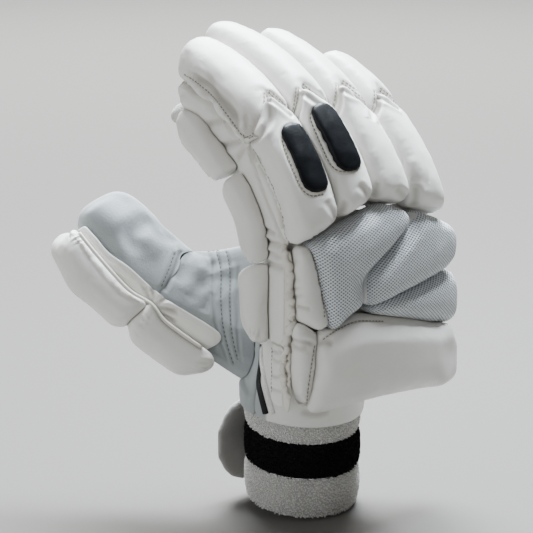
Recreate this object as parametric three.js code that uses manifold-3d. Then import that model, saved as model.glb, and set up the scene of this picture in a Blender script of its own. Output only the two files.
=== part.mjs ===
// A right-hand batting glove of padded leather, adult size, in millimetres, standing as it is worn.
// +Z runs from the wrist to the fingers, -Y is the back of the hand, +Y the palm and -X the thumb side.
// The origin is the middle of the cuff's open mouth. The back is laid out flat, as it is cut and sewn:
// x across, s along from the wrist, n out of the back, and is then bent round the curled hand.
import * as THREE from "three";
import { mergeVertices } from "three/addons/utils/BufferGeometryUtils.js";
import Module from "manifold-3d";

const wasm = await Module();
wasm.setup();

// Cuff of knitted towelling and its strap
const cuffWidth = 69;
const cuffDepth = 63;
const cuffWall = 4;
const cuffHeight = 64;
const stripeStart = 23;
const stripeHeight = 21.5;
const cuffSlant = 8.4; // degrees, the back of the cuff sits lower than its palm side
const strapWidth = 49;
const strapStart = 0.5;
const strapThickness = 2.2;
const tabLength = 32;

// Hand
const handWidth = 105;
const handOffset = 14; // the four fingers' middle lies this far to the little finger's side of the wrist
const backLength = 255; // from the wrist bar's lower edge to the longest fingertip, along the back
const backDepth = 40; // from the cuff's axis out to the back's base, at the wrist
const backStart = 62.7; // height of the wrist bar's lower edge
const archRadius = 170;
const curlTighter = 0.105; // share by which the curl tightens across one hand width, to the little finger
const palmDepth = 60;
const leatherWall = 2;
const pieceGap = 0.5; // between pieces that lie on each other
const padGap = 1.1; // between padded pieces side by side

// Padding
const rollHeight = 18.5;
const panelHeight = 15;
const barHeight = 19;
const guardHeight = 14;
const guardWidth = 20;
const guardDrop = 16; // from the back's base down the radial side to the guards
const insertHeight = 2.4;
const insertLength = 35;
const insertWidth = 14.5;

// Fingers and thumb
const fingerThickness = 28;
const thumbLength = 106;
const thumbWidth = 34;
const thumbThickness = 38;
const thumbRollHeight = 14.5;
const thumbRollWidth = 30;

const degree = Math.PI / 180;

// How far the back leans from upright towards the palm, along the back. at is a share of backLength.
const backLean = [
  { at: -0.1, lean: -2 },
  { at: 0, lean: -2 },
  { at: 0.32, lean: 0 },
  { at: 0.44, lean: 12 },
  { at: 0.56, lean: 33 },
  { at: 0.68, lean: 48 },
  { at: 0.8, lean: 63 },
  { at: 0.92, lean: 79 },
  { at: 1.08, lean: 102 },
];

// The same for the thumb. at is a share of thumbLength.
const thumbLean = [
  { at: -0.5, lean: -4 },
  { at: 0.1, lean: 0 },
  { at: 0.36, lean: 2 },
  { at: 0.5, lean: 12 },
  { at: 0.8, lean: 15 },
  { at: 1.1, lean: 24 },
];

function interpolate(table, key, at) {
  const last = table.length - 1;
  if (at <= table[0].at) return table[0][key];
  if (at >= table[last].at) return table[last][key];
  const next = table.findIndex((row) => row.at > at);
  const [low, high] = [table[next - 1], table[next]];
  return low[key] + ((high[key] - low[key]) * (at - low.at)) / (high.at - low.at);
}

const narrowest = 0.25; // share of its width that a bent space keeps, however deep

// A bent space: maps across, along and out to a point, round a line that leans by its table. To the
// side where tighten(across) falls below 1 the whole curl is drawn smaller by that factor.
function bentSpace({ length, leanTable, start, centre, arch, tighten = () => 1 }) {
  const steps = 300;
  const first = leanTable[0].at * length;
  const stride = ((leanTable[leanTable.length - 1].at + 0.1) * length - first) / steps;
  const line = [{ y: 0, z: 0 }];
  const leanAt = (along) => interpolate(leanTable, "lean", along / length) * degree;
  for (let i = 0; i < steps; i++) {
    const lean = leanAt(first + (i + 0.5) * stride);
    line.push({ y: line[i].y + stride * Math.sin(lean), z: line[i].z + stride * Math.cos(lean) });
  }
  const onLine = (along) => {
    const place = Math.min(Math.max((along - first) / stride, 0), steps - 1e-6);
    const i = Math.floor(place);
    const rest = place - i;
    return {
      y: line[i].y + (line[i + 1].y - line[i].y) * rest,
      z: line[i].z + (line[i + 1].z - line[i].z) * rest,
    };
  };
  const zero = onLine(0);
  return (across, along, out) => {
    const size = tighten(across);
    const lean = leanAt(along / size);
    const at = onLine(along / size);
    const turn = across / arch;
    const rise = out * Math.cos(turn) - arch * (1 - Math.cos(turn));
    const spread = Math.max(arch + out, arch * narrowest);
    return new THREE.Vector3(
      centre + spread * Math.sin(turn),
      start.y + (at.y - zero.y) * size - rise * Math.cos(lean),
      start.z + (at.z - zero.z) * size + rise * Math.sin(lean),
    );
  };
}

const backAt = bentSpace({
  length: backLength,
  leanTable: backLean,
  start: { y: -backDepth, z: backStart },
  centre: handOffset,
  arch: archRadius,
  tighten: (across) => 1 - curlTighter * Math.max(across / handWidth + 0.28, 0),
});

const thumbAt = bentSpace({
  length: thumbLength,
  leanTable: thumbLean,
  start: { y: 0, z: 0 },
  centre: 0,
  arch: 60,
});

// Collects rings of points and the faces between them, and closes into one solid facing out.
class Skin {
  constructor() {
    this.points = [];
    this.faces = [];
  }

  ring(points) {
    return points.map((point) => this.points.push(point) - 1);
  }

  band(ringA, ringB, closed = true) {
    const count = closed ? ringA.length : ringA.length - 1;
    for (let i = 0; i < count; i++) {
      const next = (i + 1) % ringA.length;
      this.faces.push([ringA[i], ringA[next], ringB[next]], [ringA[i], ringB[next], ringB[i]]);
    }
  }

  fan(ring, pole, outward) {
    const tip = this.ring([pole])[0];
    ring.forEach((point, i) => {
      const next = ring[(i + 1) % ring.length];
      this.faces.push(outward ? [point, next, tip] : [next, point, tip]);
    });
  }

  // Fills between a ring and a line of points inside it. turns holds for each point of the ring how
  // far round the line, there and back, its nearest point lies.
  zip(ring, turns, line, outward) {
    const last = line.length - 1;
    const round = 2 * last;
    const onLine = (k) => line[(k % round) > last ? round - (k % round) : k % round];
    const first = turns.indexOf(Math.min(...turns));
    const order = ring.map((_, i) => (first + i) % ring.length);
    const places = order.map((i) => turns[i]);
    places.push(places[0] + round);
    const put = (a, b, c) => this.faces.push(outward ? [a, b, c] : [c, b, a]);
    let k = Math.round(places[0]);
    const stop = k + round;
    order.forEach((i, step) => {
      const next = order[(step + 1) % order.length];
      const upTo = step + 1 === order.length ? stop : Math.round(places[step + 1]);
      const half = (places[step] + places[step + 1]) / 2;
      while (k < upTo && k + 0.5 <= half) put(ring[i], onLine(k + 1), onLine(k++));
      put(ring[i], ring[next], onLine(k));
      while (k < upTo) put(ring[next], onLine(k + 1), onLine(k++));
    });
  }

  geometry() {
    const [p, f] = [this.points, this.faces];
    const volume = f.reduce(
      (sum, [a, b, c]) => sum + p[a].dot(new THREE.Vector3().crossVectors(p[b], p[c])), 0);
    const index = f.flatMap(([a, b, c]) => (volume < 0 ? [a, c, b] : [a, b, c]));
    return new THREE.BufferGeometry()
      .setAttribute("position", new THREE.Float32BufferAttribute(p.flatMap((v) => v.toArray()), 3))
      .setIndex(index);
  }
}

// The nearest point of a line, and how far round the line, there on its right and back on its left.
function nearestOnLine(point, line) {
  let best = null;
  const last = line.length - 1;
  for (let i = 0; i < last; i++) {
    const edge = line[i + 1].clone().sub(line[i]);
    const offset = point.clone().sub(line[i]);
    const share = Math.min(Math.max(offset.dot(edge) / edge.lengthSq(), 0), 1);
    const found = line[i].clone().addScaledVector(edge, share);
    const away = found.distanceTo(point);
    if (best && away >= best.away - 1e-9) continue;
    const onLeft = edge.cross(offset) > 0;
    best = { found, away, turn: onLeft ? 2 * last - (i + share) : i + share };
  }
  return best;
}

function evenLine(points, step) {
  const line = [];
  points.slice(1).forEach((end, i) => {
    const parts = Math.max(Math.round(end.distanceTo(points[i]) / step), 1);
    for (let k = 0; k < parts; k++) line.push(points[i].clone().lerp(end, k / parts));
  });
  return [...line, points[points.length - 1]];
}

// An outline through corners, each rounded by its own radius, with no stretch longer than the step.
function roundedOutline(corners, step) {
  const turns = corners.map(([x, y, radius], i) => {
    const here = new THREE.Vector2(x, y);
    const [before, after] = [corners.at(i - 1), corners[(i + 1) % corners.length]].map(([a, b]) =>
      new THREE.Vector2(a, b));
    const reach = Math.min(radius, 0.48 * here.distanceTo(before), 0.48 * here.distanceTo(after));
    const towards = (other) => here.clone().addScaledVector(other.clone().sub(here).normalize(), reach);
    return { here, from: towards(before), to: towards(after), round: reach > 0.4 };
  });
  const outline = [];
  turns.forEach(({ here, from, to, round }, i) => {
    if (round) {
      const curve = new THREE.QuadraticBezierCurve(from, here, to);
      const parts = from.distanceTo(to) > step ? 3 : 2;
      outline.push(...curve.getPoints(parts));
    } else outline.push(here);
    const start = round ? to : here;
    const next = turns[(i + 1) % turns.length];
    const end = next.round ? next.from : next.here;
    const parts = Math.ceil(start.distanceTo(end) / step);
    for (let k = 1; k < parts; k++) outline.push(start.clone().lerp(end, k / parts));
  });
  return outline;
}

// How a padded piece swells: inset is its share of the way from its spine to its outline.
const puffProfile = [
  { inset: 1, rise: 0 },
  { inset: 1, rise: 0.36 },
  { inset: 0.89, rise: 0.72 },
  { inset: 0.62, rise: 0.95 },
  { inset: 0, rise: 1 },
];
const flatProfile = [
  { inset: 1, rise: 0 },
  { inset: 0.96, rise: 0.7 },
  { inset: 0, rise: 1 },
];
const spineStep = 14;

// A padded piece on a bent space: its outline, the spine that it swells towards, and its height.
function cushion({ outline, spine, height, map, base = pieceGap, profile = puffProfile }) {
  const skin = new Skin();
  const heart = evenLine(spine.map(([x, y]) => new THREE.Vector2(x, y)), spineStep);
  const nearest = outline.map((point) => nearestOnLine(point, heart));
  const turns = nearest.map(({ turn }) => turn);
  const ringAt = ({ inset, rise }) =>
    skin.ring(outline.map((point, i) => {
      const { x, y } = nearest[i].found.clone().lerp(point, inset);
      return map(x, y, base + rise * height);
    }));
  const rings = profile.slice(0, -1).map(ringAt);
  for (let i = 0; i + 1 < rings.length; i++) skin.band(rings[i], rings[i + 1]);
  const lineAt = (out) => skin.ring(heart.map(({ x, y }) => map(x, y, out)));
  skin.zip(rings[0], turns, lineAt(base), false);
  skin.zip(rings[rings.length - 1], turns, lineAt(base + height), true);
  return skin.geometry();
}

// A glove finger: a sleeve closed at its tip and open at its root, with a thin wall.
function sleeve({ stations, wall, map, sides = 14 }) {
  const skin = new Skin();
  const ringAt = ({ across, along, out, halfWidth, halfThickness }, inset) => {
    const [w, t] = [halfWidth - inset, halfThickness - inset];
    return skin.ring(
      Array.from({ length: sides }, (_, i) => {
        const angle = (2 * Math.PI * (i + 0.5)) / sides;
        const [c, s] = [Math.cos(angle), Math.sin(angle)];
        const square = (v) => Math.sign(v) * Math.abs(v) ** 0.85;
        return map(across + w * square(c), along, out + t * square(s));
      }),
    );
  };
  const tip = stations[stations.length - 1];
  const outer = stations.map((station) => ringAt(station, 0));
  const inner = stations.map((station, i) =>
    ringAt({ ...station, along: station.along - (i ? (wall * i) / stations.length : 0) }, wall));
  for (let i = 0; i + 1 < stations.length; i++) {
    skin.band(outer[i], outer[i + 1]);
    skin.band(inner[i + 1], inner[i]);
  }
  skin.band(inner[0], outer[0]);
  const pole = (extra) => map(tip.across, tip.along + extra, tip.out);
  skin.fan(outer[outer.length - 1], pole(tip.cap), true);
  skin.fan(inner[inner.length - 1], pole(tip.cap - wall * 1.6), false);
  return skin.geometry();
}

// A closed band whose section is a ring of points at each station, open at both ends or joined up.
function loft(rings, { joined = false } = {}) {
  const skin = new Skin();
  const made = rings.map((points) => skin.ring(points));
  for (let i = 0; i + 1 < made.length; i++) skin.band(made[i], made[i + 1]);
  if (joined) skin.band(made[made.length - 1], made[0]);
  else {
    const half = made[0].length / 2;
    for (const [ring, outward] of [[made[0], false], [made[made.length - 1], true]])
      for (let i = 0; i + 1 < half; i++) {
        const [a, b, c, d] = [ring[i], ring[i + 1], ring[2 * half - 2 - i], ring[2 * half - 1 - i]];
        skin.faces.push(...(outward ? [[a, b, c], [a, c, d]] : [[c, b, a], [d, c, a]]));
      }
  }
  return skin.geometry();
}

// A channel or plate of sheet: outer points one way round and inner points back, at each station.
const sheetRing = (outer, inner) => [...outer, ...inner.slice().reverse()];

function toSolid(geometry) {
  const bare = mergeVertices(geometry.clone(), 1e-4);
  return new wasm.Manifold(
    new wasm.Mesh({
      numProp: 3,
      vertProperties: new Float32Array(bare.attributes.position.array),
      triVerts: new Uint32Array(bare.index.array),
    }),
  );
}

function fromSolid(solid) {
  const mesh = solid.getMesh();
  const geometry = mergeVertices(
    new THREE.BufferGeometry()
      .setAttribute("position", new THREE.BufferAttribute(new Float32Array(mesh.vertProperties), 3))
      .setIndex(new THREE.BufferAttribute(new Uint32Array(mesh.triVerts), 1)),
    1e-3);
  const faces = [];
  for (let i = 0; i < geometry.index.count; i += 3) {
    const face = Array.from(geometry.index.array.slice(i, i + 3));
    if (new Set(face).size === 3) faces.push(...face);
  }
  return geometry.setIndex(faces);
}

// The largest body of a cut, without the slivers that a cut leaves
const sliver = 0.03;
const largest = (solid) => solid.decompose().sort((a, b) => b.volume() - a.volume())[0].simplify(sliver);

const material = (color, roughness) => new THREE.MeshStandardMaterial({ color, roughness, metalness: 0 });
const whiteLeather = material(0xe9e7e2, 0.42);
const greyLeather = material(0xa9b0b3, 0.62);
const silverGrain = material(0xc9cdd3, 0.45);
const blackFoam = material(0x101114, 0.5);
const whiteTowel = material(0xd6d3cd, 0.95);
const blackTowel = material(0x0a0a0b, 0.95);
const greyStrap = material(0x9a9893, 0.85);
const blackTape = material(0x151515, 0.8);

const glove = new THREE.Group();

function addMesh(name, geometry, look, parent = glove) {
  const mesh = new THREE.Mesh(geometry, look);
  mesh.name = name;
  parent.add(mesh);
  return mesh;
}

// The four fingers, from the index to the little finger. The lines between them run from the
// knuckles to the tips; each level gives the hand's radial edge, and the lines as shares of its width.
const levels = [
  { at: 0.41, edge: -0.524, width: 1, lines: [0, 0.257, 0.481, 0.729, 1] },
  { at: 0.647, edge: -0.59, width: 0.98, lines: [0, 0.267, 0.505, 0.733, 1] },
  { at: 0.95, edge: -0.629, width: 0.87, lines: [0, 0.275, 0.525, 0.765, 1] },
];

function fingerLine(k, along) {
  const table = levels.map(({ at, edge, width, lines }) => ({ at, x: edge + width * lines[k] }));
  return handWidth * interpolate(table, "x", along / backLength);
}

// Along the back, as shares of backLength: where each finger's lower roll starts at its left and right,
// where the stitched zigzag between the rolls dips and peaks, and where the fingertip is.
const fingers = [
  { name: "index", roots: [0.381, 0.425], dips: [0.632, 0.652], peak: 0.698, tip: 0.935 },
  { name: "middle", roots: [0.425, 0.455], dips: [0.652, 0.64], peak: 0.694, tip: 0.965 },
  { name: "ring", roots: [0.455, 0.433], dips: [0.64, 0.616], peak: 0.684, tip: 0.9 },
  { name: "little", roots: [0.433, 0.395], dips: [0.616, 0.62], peak: 0.663, tip: 0.805 },
];
const outlineStep = 13;
const insertGap = 0.4;

const lowerRolls = {};

fingers.forEach(({ name, roots, dips, peak, tip }, k) => {
  const [rootLeft, rootRight] = roots;
  const [dipLeft, dipRight] = dips;
  const at = (share) => share * backLength;
  const side = padGap / 2;
  const left = (along) => fingerLine(k, along) + side;
  const right = (along) => fingerLine(k + 1, along) - side;
  const middle = (along) => (left(along) + right(along)) / 2;
  const half = (right(at(0.6)) - left(at(0.6))) / 2;

  const lower = [
    [left(at(rootLeft)), at(rootLeft), 5],
    [right(at(rootRight)), at(rootRight), 5],
    [right(at(dipRight)), at(dipRight) - padGap, 3],
    [middle(at(peak)), at(peak) - padGap, 3],
    [left(at(dipLeft)), at(dipLeft) - padGap, 3],
  ];
  lowerRolls[name] = {
    outline: roundedOutline(lower, outlineStep),
    spine: [
      [middle(at(0.46)), (at(rootLeft) + at(rootRight)) / 2 + half],
      [middle(at(peak)), at(peak) - half],
    ],
    map: backAt,
  };
  addMesh(`lower_roll_${name}`, cushion({ ...lowerRolls[name], height: rollHeight }), whiteLeather);

  const upper = [
    [left(at(dipLeft)), at(dipLeft), 3],
    [middle(at(peak)), at(peak), 1],
    [right(at(dipRight)), at(dipRight), 3],
    [right(at(tip)), at(tip), half * 0.9],
    [left(at(tip)), at(tip), half * 0.9],
  ];
  addMesh(`upper_roll_${name}`, cushion({
    outline: roundedOutline(upper, outlineStep),
    spine: [
      [middle(at(peak)), at(peak) + half * 0.45],
      [middle(at(tip)), at(tip) - half],
    ],
    height: rollHeight,
    map: backAt,
  }), whiteLeather);

  const root = at(0.44);
  const sleeveTip = at(tip) + 5;
  const round = fingerThickness / 2;
  const stations = [0, 0.17, 0.34, 0.51, 0.68, 0.84, 0.94, 1].map((share) => {
    const along = root + share * (sleeveTip - round * 0.25 - root);
    const shrink = share < 0.84 ? 1 : share < 0.94 ? 0.97 : share < 1 ? 0.85 : 0.6;
    return {
      across: (fingerLine(k, along) + fingerLine(k + 1, along)) / 2,
      along,
      out: -round,
      halfWidth: ((fingerLine(k + 1, along) - fingerLine(k, along)) / 2 - pieceGap) * shrink,
      halfThickness: (round - pieceGap / 2) * shrink,
      cap: round * 0.25,
    };
  });
  addMesh(`finger_sleeve_${name}`, sleeve({ stations, wall: leatherWall, map: backAt }), whiteLeather);
});

// Black oval inserts on the index and middle fingers' lower rolls: a layer of the roll's own shape
for (const { name, x, at, tilt } of [
  { name: "index", x: -0.405, at: 0.55, tilt: -0.06 },
  { name: "middle", x: -0.205, at: 0.575, tilt: -0.1 },
]) {
  const [cx, cs] = [x * handWidth, at * backLength];
  const [w, l] = [insertWidth / 2, insertLength / 2];
  const lean = (along) => cx + tilt * along;
  const oval = toSolid(cushion({
    outline: roundedOutline([
      [lean(-l) - w, cs - l, w * 1.1], [lean(-l) + w, cs - l, w * 1.1],
      [lean(l) + w, cs + l, w * 1.1], [lean(l) - w, cs + l, w * 1.1],
    ], outlineStep * 0.7),
    spine: [[lean(-l + w), cs - l + w], [lean(l - w), cs + l - w]],
    height: rollHeight,
    base: rollHeight * 0.5,
    map: backAt,
    profile: [{ inset: 1, rise: 0 }, { inset: 1, rise: 1 }, { inset: 0, rise: 1 }],
  }));
  const layer = (height) => toSolid(cushion({ ...lowerRolls[name], height }));
  const insert = oval.intersect(layer(rollHeight + insertHeight)).subtract(layer(rollHeight + insertGap));
  addMesh(`oval_insert_${name}`, fromSolid(largest(insert)), blackFoam);
}

// Padded panels on the back of the hand. Corners are shares of handWidth across and of backLength
// along, then a rounding as a share of handWidth.
const backPanels = [
  {
    name: "knuckle_panel_upper", look: silverGrain, height: panelHeight,
    corners: [
      [-0.343, 0.198, 0.029], [-0.124, 0.236, 0.029],
      [-0.108, 0.308, 0.038], [0.2, 0.402, 0.057],
      [0.165, 0.421, 0.048], [0.02, 0.444, 0.057], [-0.262, 0.412, 0.057],
      [-0.44, 0.383, 0.019], [-0.385, 0.29, 0.19],
    ],
    spine: [[-0.29, 0.27], [-0.25, 0.34], [0.06, 0.4]],
  },
  {
    name: "knuckle_panel_side", look: whiteLeather, height: panelHeight * 0.8,
    corners: [
      [-0.358, 0.2, 0.019], [-0.4, 0.29, 0.19], [-0.455, 0.38, 0.029], [-0.49, 0.376, 0.057],
      [-0.51, 0.3, 0.114], [-0.46, 0.225, 0.095],
    ],
    spine: [[-0.425, 0.26], [-0.46, 0.345]],
  },
  {
    name: "knuckle_panel_middle", look: silverGrain, height: panelHeight,
    corners: [
      [-0.108, 0.235, 0.038], [0.57, 0.276, 0.076], [0.6, 0.36, 0.095],
      [0.27, 0.415, 0.038], [0.225, 0.408, 0.038], [-0.095, 0.303, 0.048],
    ],
    spine: [[0.0, 0.27], [0.47, 0.34]],
  },
  {
    name: "knuckle_panel_lower", look: silverGrain, height: panelHeight,
    corners: [
      [-0.12, 0.226, 0.019], [0.12, 0.2, 0.19], [0.6, 0.136, 0.086],
      [0.615, 0.2, 0.114], [0.58, 0.269, 0.057],
    ],
    spine: [[0.1, 0.22], [0.5, 0.2]],
  },
  {
    name: "wrist_bar", look: whiteLeather, height: barHeight,
    corners: [
      [-0.44, 0.018, 0.076], [0.03, 0.028, 0.19], [0.585, 0.0, 0.095],
      [0.605, 0.128, 0.076], [0.2, 0.185, 0.114],
      [-0.16, 0.217, 0.057], [-0.375, 0.178, 0.048], [-0.405, 0.165, 0.038],
    ],
    spine: [[-0.31, 0.1], [0.46, 0.07]],
  },
  {
    name: "wrist_bar_end", look: whiteLeather, height: barHeight * 0.75,
    corners: [
      [-0.455, 0.018, 0.048], [-0.42, 0.16, 0.029], [-0.395, 0.192, 0.038],
      [-0.49, 0.198, 0.048], [-0.515, 0.1, 0.114],
    ],
    spine: [[-0.485, 0.06], [-0.47, 0.155]],
  },
];

for (const { name, look, height, corners, spine } of backPanels)
  addMesh(name, cushion({
    outline: roundedOutline(
      corners.map(([x, along, round]) => [x * handWidth, along * backLength, round * handWidth]),
      outlineStep),
    spine: spine.map(([x, along]) => [x * handWidth, along * backLength]),
    height,
    map: backAt,
  }), look);

// Radial side: a leather wall that slopes out from under the index finger's rolls, with three
// padded guards on it
const wallFoot = 1; // how far out of the back's edge the wall starts
const wallSlope = 2.6; // how much farther out it lies at the guards
const wallLeather = 1.4;
const sideEdge = (along) => fingerLine(0, Math.min(along, backLength * 0.93));
function sideAt(out, along, away) {
  const slope = wallSlope * Math.min(Math.max(-out / guardDrop, 0), 1);
  return backAt(sideEdge(along) - wallFoot - slope - away, along, out);
}

const wallStart = 0.15;
const wallEnd = 0.885;
const wallStations = 12;
const wallTop = 2.4; // how far below the back's base the wall starts
const wallLines = [
  -wallTop, -guardDrop * 0.55, -guardDrop, -guardDrop - guardWidth / 2, 1 - guardDrop - guardWidth];
addMesh("index_side_wall", loft(
  Array.from({ length: wallStations }, (_, i) => {
    const along = backLength * (wallStart + ((wallEnd - wallStart) * i) / (wallStations - 1));
    const taper = { [wallStations - 2]: 0.86, [wallStations - 1]: 0.6 }[i] ?? 1;
    const face = (away) => wallLines.map((out) => sideAt(out * taper, along, away));
    return sheetRing(face(0), face(-wallLeather));
  }),
), whiteLeather);

for (const { name, from, to } of [
  { name: "index_guard_lower", from: 0.145, to: 0.33 },
  { name: "index_guard_middle", from: 0.34, to: 0.61 },
  { name: "index_guard_upper", from: 0.618, to: 0.88 },
]) {
  const [low, high] = [from * backLength, to * backLength];
  const [near, far] = [-guardDrop - 0.5, -guardDrop - guardWidth];
  addMesh(name, cushion({
    outline: roundedOutline(
      [[near, low, 4], [near, high, 4], [far, high - 6, 8], [far, low + 6, 8]], outlineStep),
    spine: [
      [(near + far) / 2, low + guardWidth * 0.48],
      [(near + far) / 2, high - guardWidth * 0.48],
    ],
    height: guardHeight,
    map: sideAt,
  }), whiteLeather);
}

// The side strip goes on below the wall as far as the wrist bar
addMesh("wrist_side_strip", loft(
  [0.014, 0.05, 0.085, 0.12, wallStart - 0.004].map((at) => {
    const face = (away) => [-wallTop, -guardDrop * 0.5, 1 - guardDrop].map((out) =>
      sideAt(out, at * backLength, away));
    return sheetRing(face(0), face(-wallLeather));
  }),
), whiteLeather);

// The gathered binding along the radial edge of the back's padding
const bindingAcross = -0.5223;
const bindingWidth = 2.4;
const bindingHeight = 8.1;
addMesh("edge_binding", loft(
  Array.from({ length: 9 }, (_, i) => {
    const along = backLength * (0.012 + (0.36 * i) / 8);
    const face = (side) => [0, 0.5, 1].map((share) => backAt(
      bindingAcross * handWidth + (side * bindingWidth) / 2, along,
      pieceGap - wallTop + share * bindingHeight));
    return sheetRing(face(-1), face(1));
  }),
), whiteLeather);

// The hand's shell: an oval round the cuff that opens out to the hand's section. The back half is
// white and the palm half grey. at is a share of backLength, oval how much of the cuff's oval is left,
// left and right are shares of handWidth and depth is one of palmDepth.
const shellTable = [
  { at: -0.03, oval: 1, left: -0.5, right: 0.42, depth: 0.9 },
  { at: 0.012, oval: 1, left: -0.5, right: 0.43, depth: 0.92 },
  { at: 0.05, oval: 0.62, left: -0.505, right: 0.45, depth: 0.98 },
  { at: 0.09, oval: 0.25, left: -0.51, right: 0.46, depth: 1.02 },
  { at: 0.14, oval: 0.05, left: -0.515, right: 0.47, depth: 1.06 },
  { at: 0.2, oval: 0, left: -0.515, right: 0.475, depth: 1.08 },
  { at: 0.28, oval: 0, left: -0.515, right: 0.475, depth: 0.98 },
  { at: 0.36, oval: 0, left: -0.515, right: 0.475, depth: 0.74 },
  { at: 0.4375, oval: 0, left: -0.512, right: 0.466, depth: 0.49 },
];
const halfSteps = 14;
const backCorner = 9;
const palmCorner = 19;
const seamDepth = 0.62; // of the section's depth, from the back down to the seam of back and palm
const ovalClear = 0.7;

// One half of the hand's section, 15 points from one seam round to the other
function halfSection(from, to, edge, seam, corner) {
  const inward = Math.sign(to - from);
  const down = Math.sign(seam - edge);
  const turn = (x, side) => [0.25, 0.5, 0.75].map((share) => {
    const angle = (share * Math.PI) / 2;
    const a = corner * (1 - Math.sin(angle));
    const b = corner * (1 - Math.cos(angle));
    return new THREE.Vector2(x + side * b, edge + down * a);
  });
  const start = [new THREE.Vector2(from, seam), new THREE.Vector2(from, (seam + edge + down * corner) / 2)];
  const end = [new THREE.Vector2(to, (seam + edge + down * corner) / 2), new THREE.Vector2(to, seam)];
  const [near, far] = [from + inward * corner, to - inward * corner];
  const flat = [0, 0.25, 0.5, 0.75, 1].map((share) => new THREE.Vector2(near + (far - near) * share, edge));
  return [...start, ...turn(from, inward), ...flat, ...turn(to, -inward).reverse(), ...end];
}

function shellRing(at, inset) {
  const row = {};
  for (const key of ["oval", "left", "right", "depth"]) row[key] = interpolate(shellTable, key, at);
  const depth = palmDepth * row.depth;
  const [l, r] = [row.left * handWidth + inset, row.right * handWidth - inset];
  const seam = -depth * seamDepth;
  const back = halfSection(l, r, -pieceGap / 2 - inset, seam, backCorner - inset);
  const palm = halfSection(r, l, -depth + inset, seam, Math.min(palmCorner, depth * 0.3) - inset);
  const along = at * backLength;
  return [...back, ...palm.slice(1, -1)].map(({ x: across, y: out }, step) => {
    const turn = Math.PI * (1 - step / halfSteps);
    const reach = ovalClear + leatherWall - inset;
    const x = (cuffWidth / 2 + reach) * Math.cos(turn);
    const y = -(cuffDepth / 2 + reach) * Math.sin(turn);
    const oval = new THREE.Vector3(x, y, backStart + along + slantRise(y));
    return backAt(across, along, out).lerp(oval, row.oval);
  });
}

const slantRise = (y) => y * Math.tan(cuffSlant * degree);

// A point between two of a ring's points
function ringPoint(ring, step) {
  const i = Math.floor(step);
  return ring[i % ring.length].clone().lerp(ring[(i + 1) % ring.length], step - i);
}

function shellPatch(steps, outer, inner, rows = shellTable.map(({ at }) => at)) {
  return loft(rows.map((at) => {
    const line = (inset) => {
      const ring = shellRing(at, inset);
      return steps.map((step) => ringPoint(ring, step));
    };
    return sheetRing(line(outer), line(inner));
  }));
}

const wholeSteps = (from, to) => Array.from({ length: to - from - 1 }, (_, i) => from + 1 + i);
const seamGap = 0.06; // as a share of a step
addMesh("hand_back", shellPatch(
  [seamGap, ...wholeSteps(0, halfSteps), halfSteps - seamGap], 0, leatherWall), whiteLeather);

// On the radial side: the palm's turned edge, and a black elastic tape over the seam at the wrist
const turnedEdge = { from: 24.9, to: 26.2, rows: [0.05, 0.09, 0.14, 0.2, 0.28, 0.36, 0.43] };
addMesh("palm_edge_strip", shellPatch(
  [turnedEdge.from, 25, 26, turnedEdge.to], -pieceGap - 0.9, -pieceGap, turnedEdge.rows), greyLeather);
addMesh("wrist_tape", shellPatch(
  [2 * halfSteps - 0.1, 2 * halfSteps, 2 * halfSteps + 0.2], -pieceGap - 0.7, -pieceGap,
  [-0.025, 0.012, 0.05, 0.09, 0.135]), blackTape);

// Thumb: its own group, set against the hand's radial side. Its own +Y is the palm side of the thumb.
const thumb = new THREE.Group();
const thumbPlace = new THREE.Vector3(-45.5, 32.4, 85.5);
const thumbAlong = new THREE.Vector3(-0.544, 0.626, 0.559).normalize();
const thumbPalm = new THREE.Vector3(0.676, -0.068, 0.733).normalize();
const thumbAcross = new THREE.Vector3().crossVectors(thumbPalm, thumbAlong).normalize();
thumb.position.copy(thumbPlace);
thumb.setRotationFromMatrix(new THREE.Matrix4().makeBasis(
  thumbAcross, new THREE.Vector3().crossVectors(thumbAlong, thumbAcross), thumbAlong));
glove.add(thumb);
thumb.updateMatrixWorld(true);

// at is a share of thumbLength; wide, deep and middle are shares of thumbWidth and thumbThickness
const thumbTable = [
  { at: -0.5, wide: 1.06, deep: 2.7, middle: 1.35 },
  { at: -0.2, wide: 1.06, deep: 2.5, middle: 1.25 },
  { at: 0, wide: 1.06, deep: 2.2, middle: 1.1 },
  { at: 0.18, wide: 1.04, deep: 1.68, middle: 0.84 },
  { at: 0.3, wide: 1, deep: 1.34, middle: 0.67 },
  { at: 0.4, wide: 1, deep: 1.18, middle: 0.59 },
  { at: 0.6, wide: 1, deep: 1.14, middle: 0.57 },
  { at: 0.85, wide: 0.98, deep: 1.1, middle: 0.55 },
  { at: 0.95, wide: 0.9, deep: 1.02, middle: 0.53 },
  { at: 1.015, wide: 0.74, deep: 0.83, middle: 0.53 },
  { at: 1.05, wide: 0.5, deep: 0.56, middle: 0.53 },
];
const thumbSides = 18;
const thumbAngles = Array.from({ length: thumbSides }, (_, i) => (2 * Math.PI * (i + 0.5)) / thumbSides);
const rounded = (value) => Math.sign(value) * Math.abs(value) ** 0.85;

function thumbRing(at, inset, angles = thumbAngles) {
  const w = (interpolate(thumbTable, "wide", at) * thumbWidth) / 2 - inset;
  const t = (interpolate(thumbTable, "deep", at) * thumbThickness) / 2 - inset;
  const middle = -interpolate(thumbTable, "middle", at) * thumbThickness;
  return angles.map((angle) => thumbAt(
    w * rounded(Math.cos(angle)), at * thumbLength, middle + t * rounded(Math.sin(angle))));
}

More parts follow.
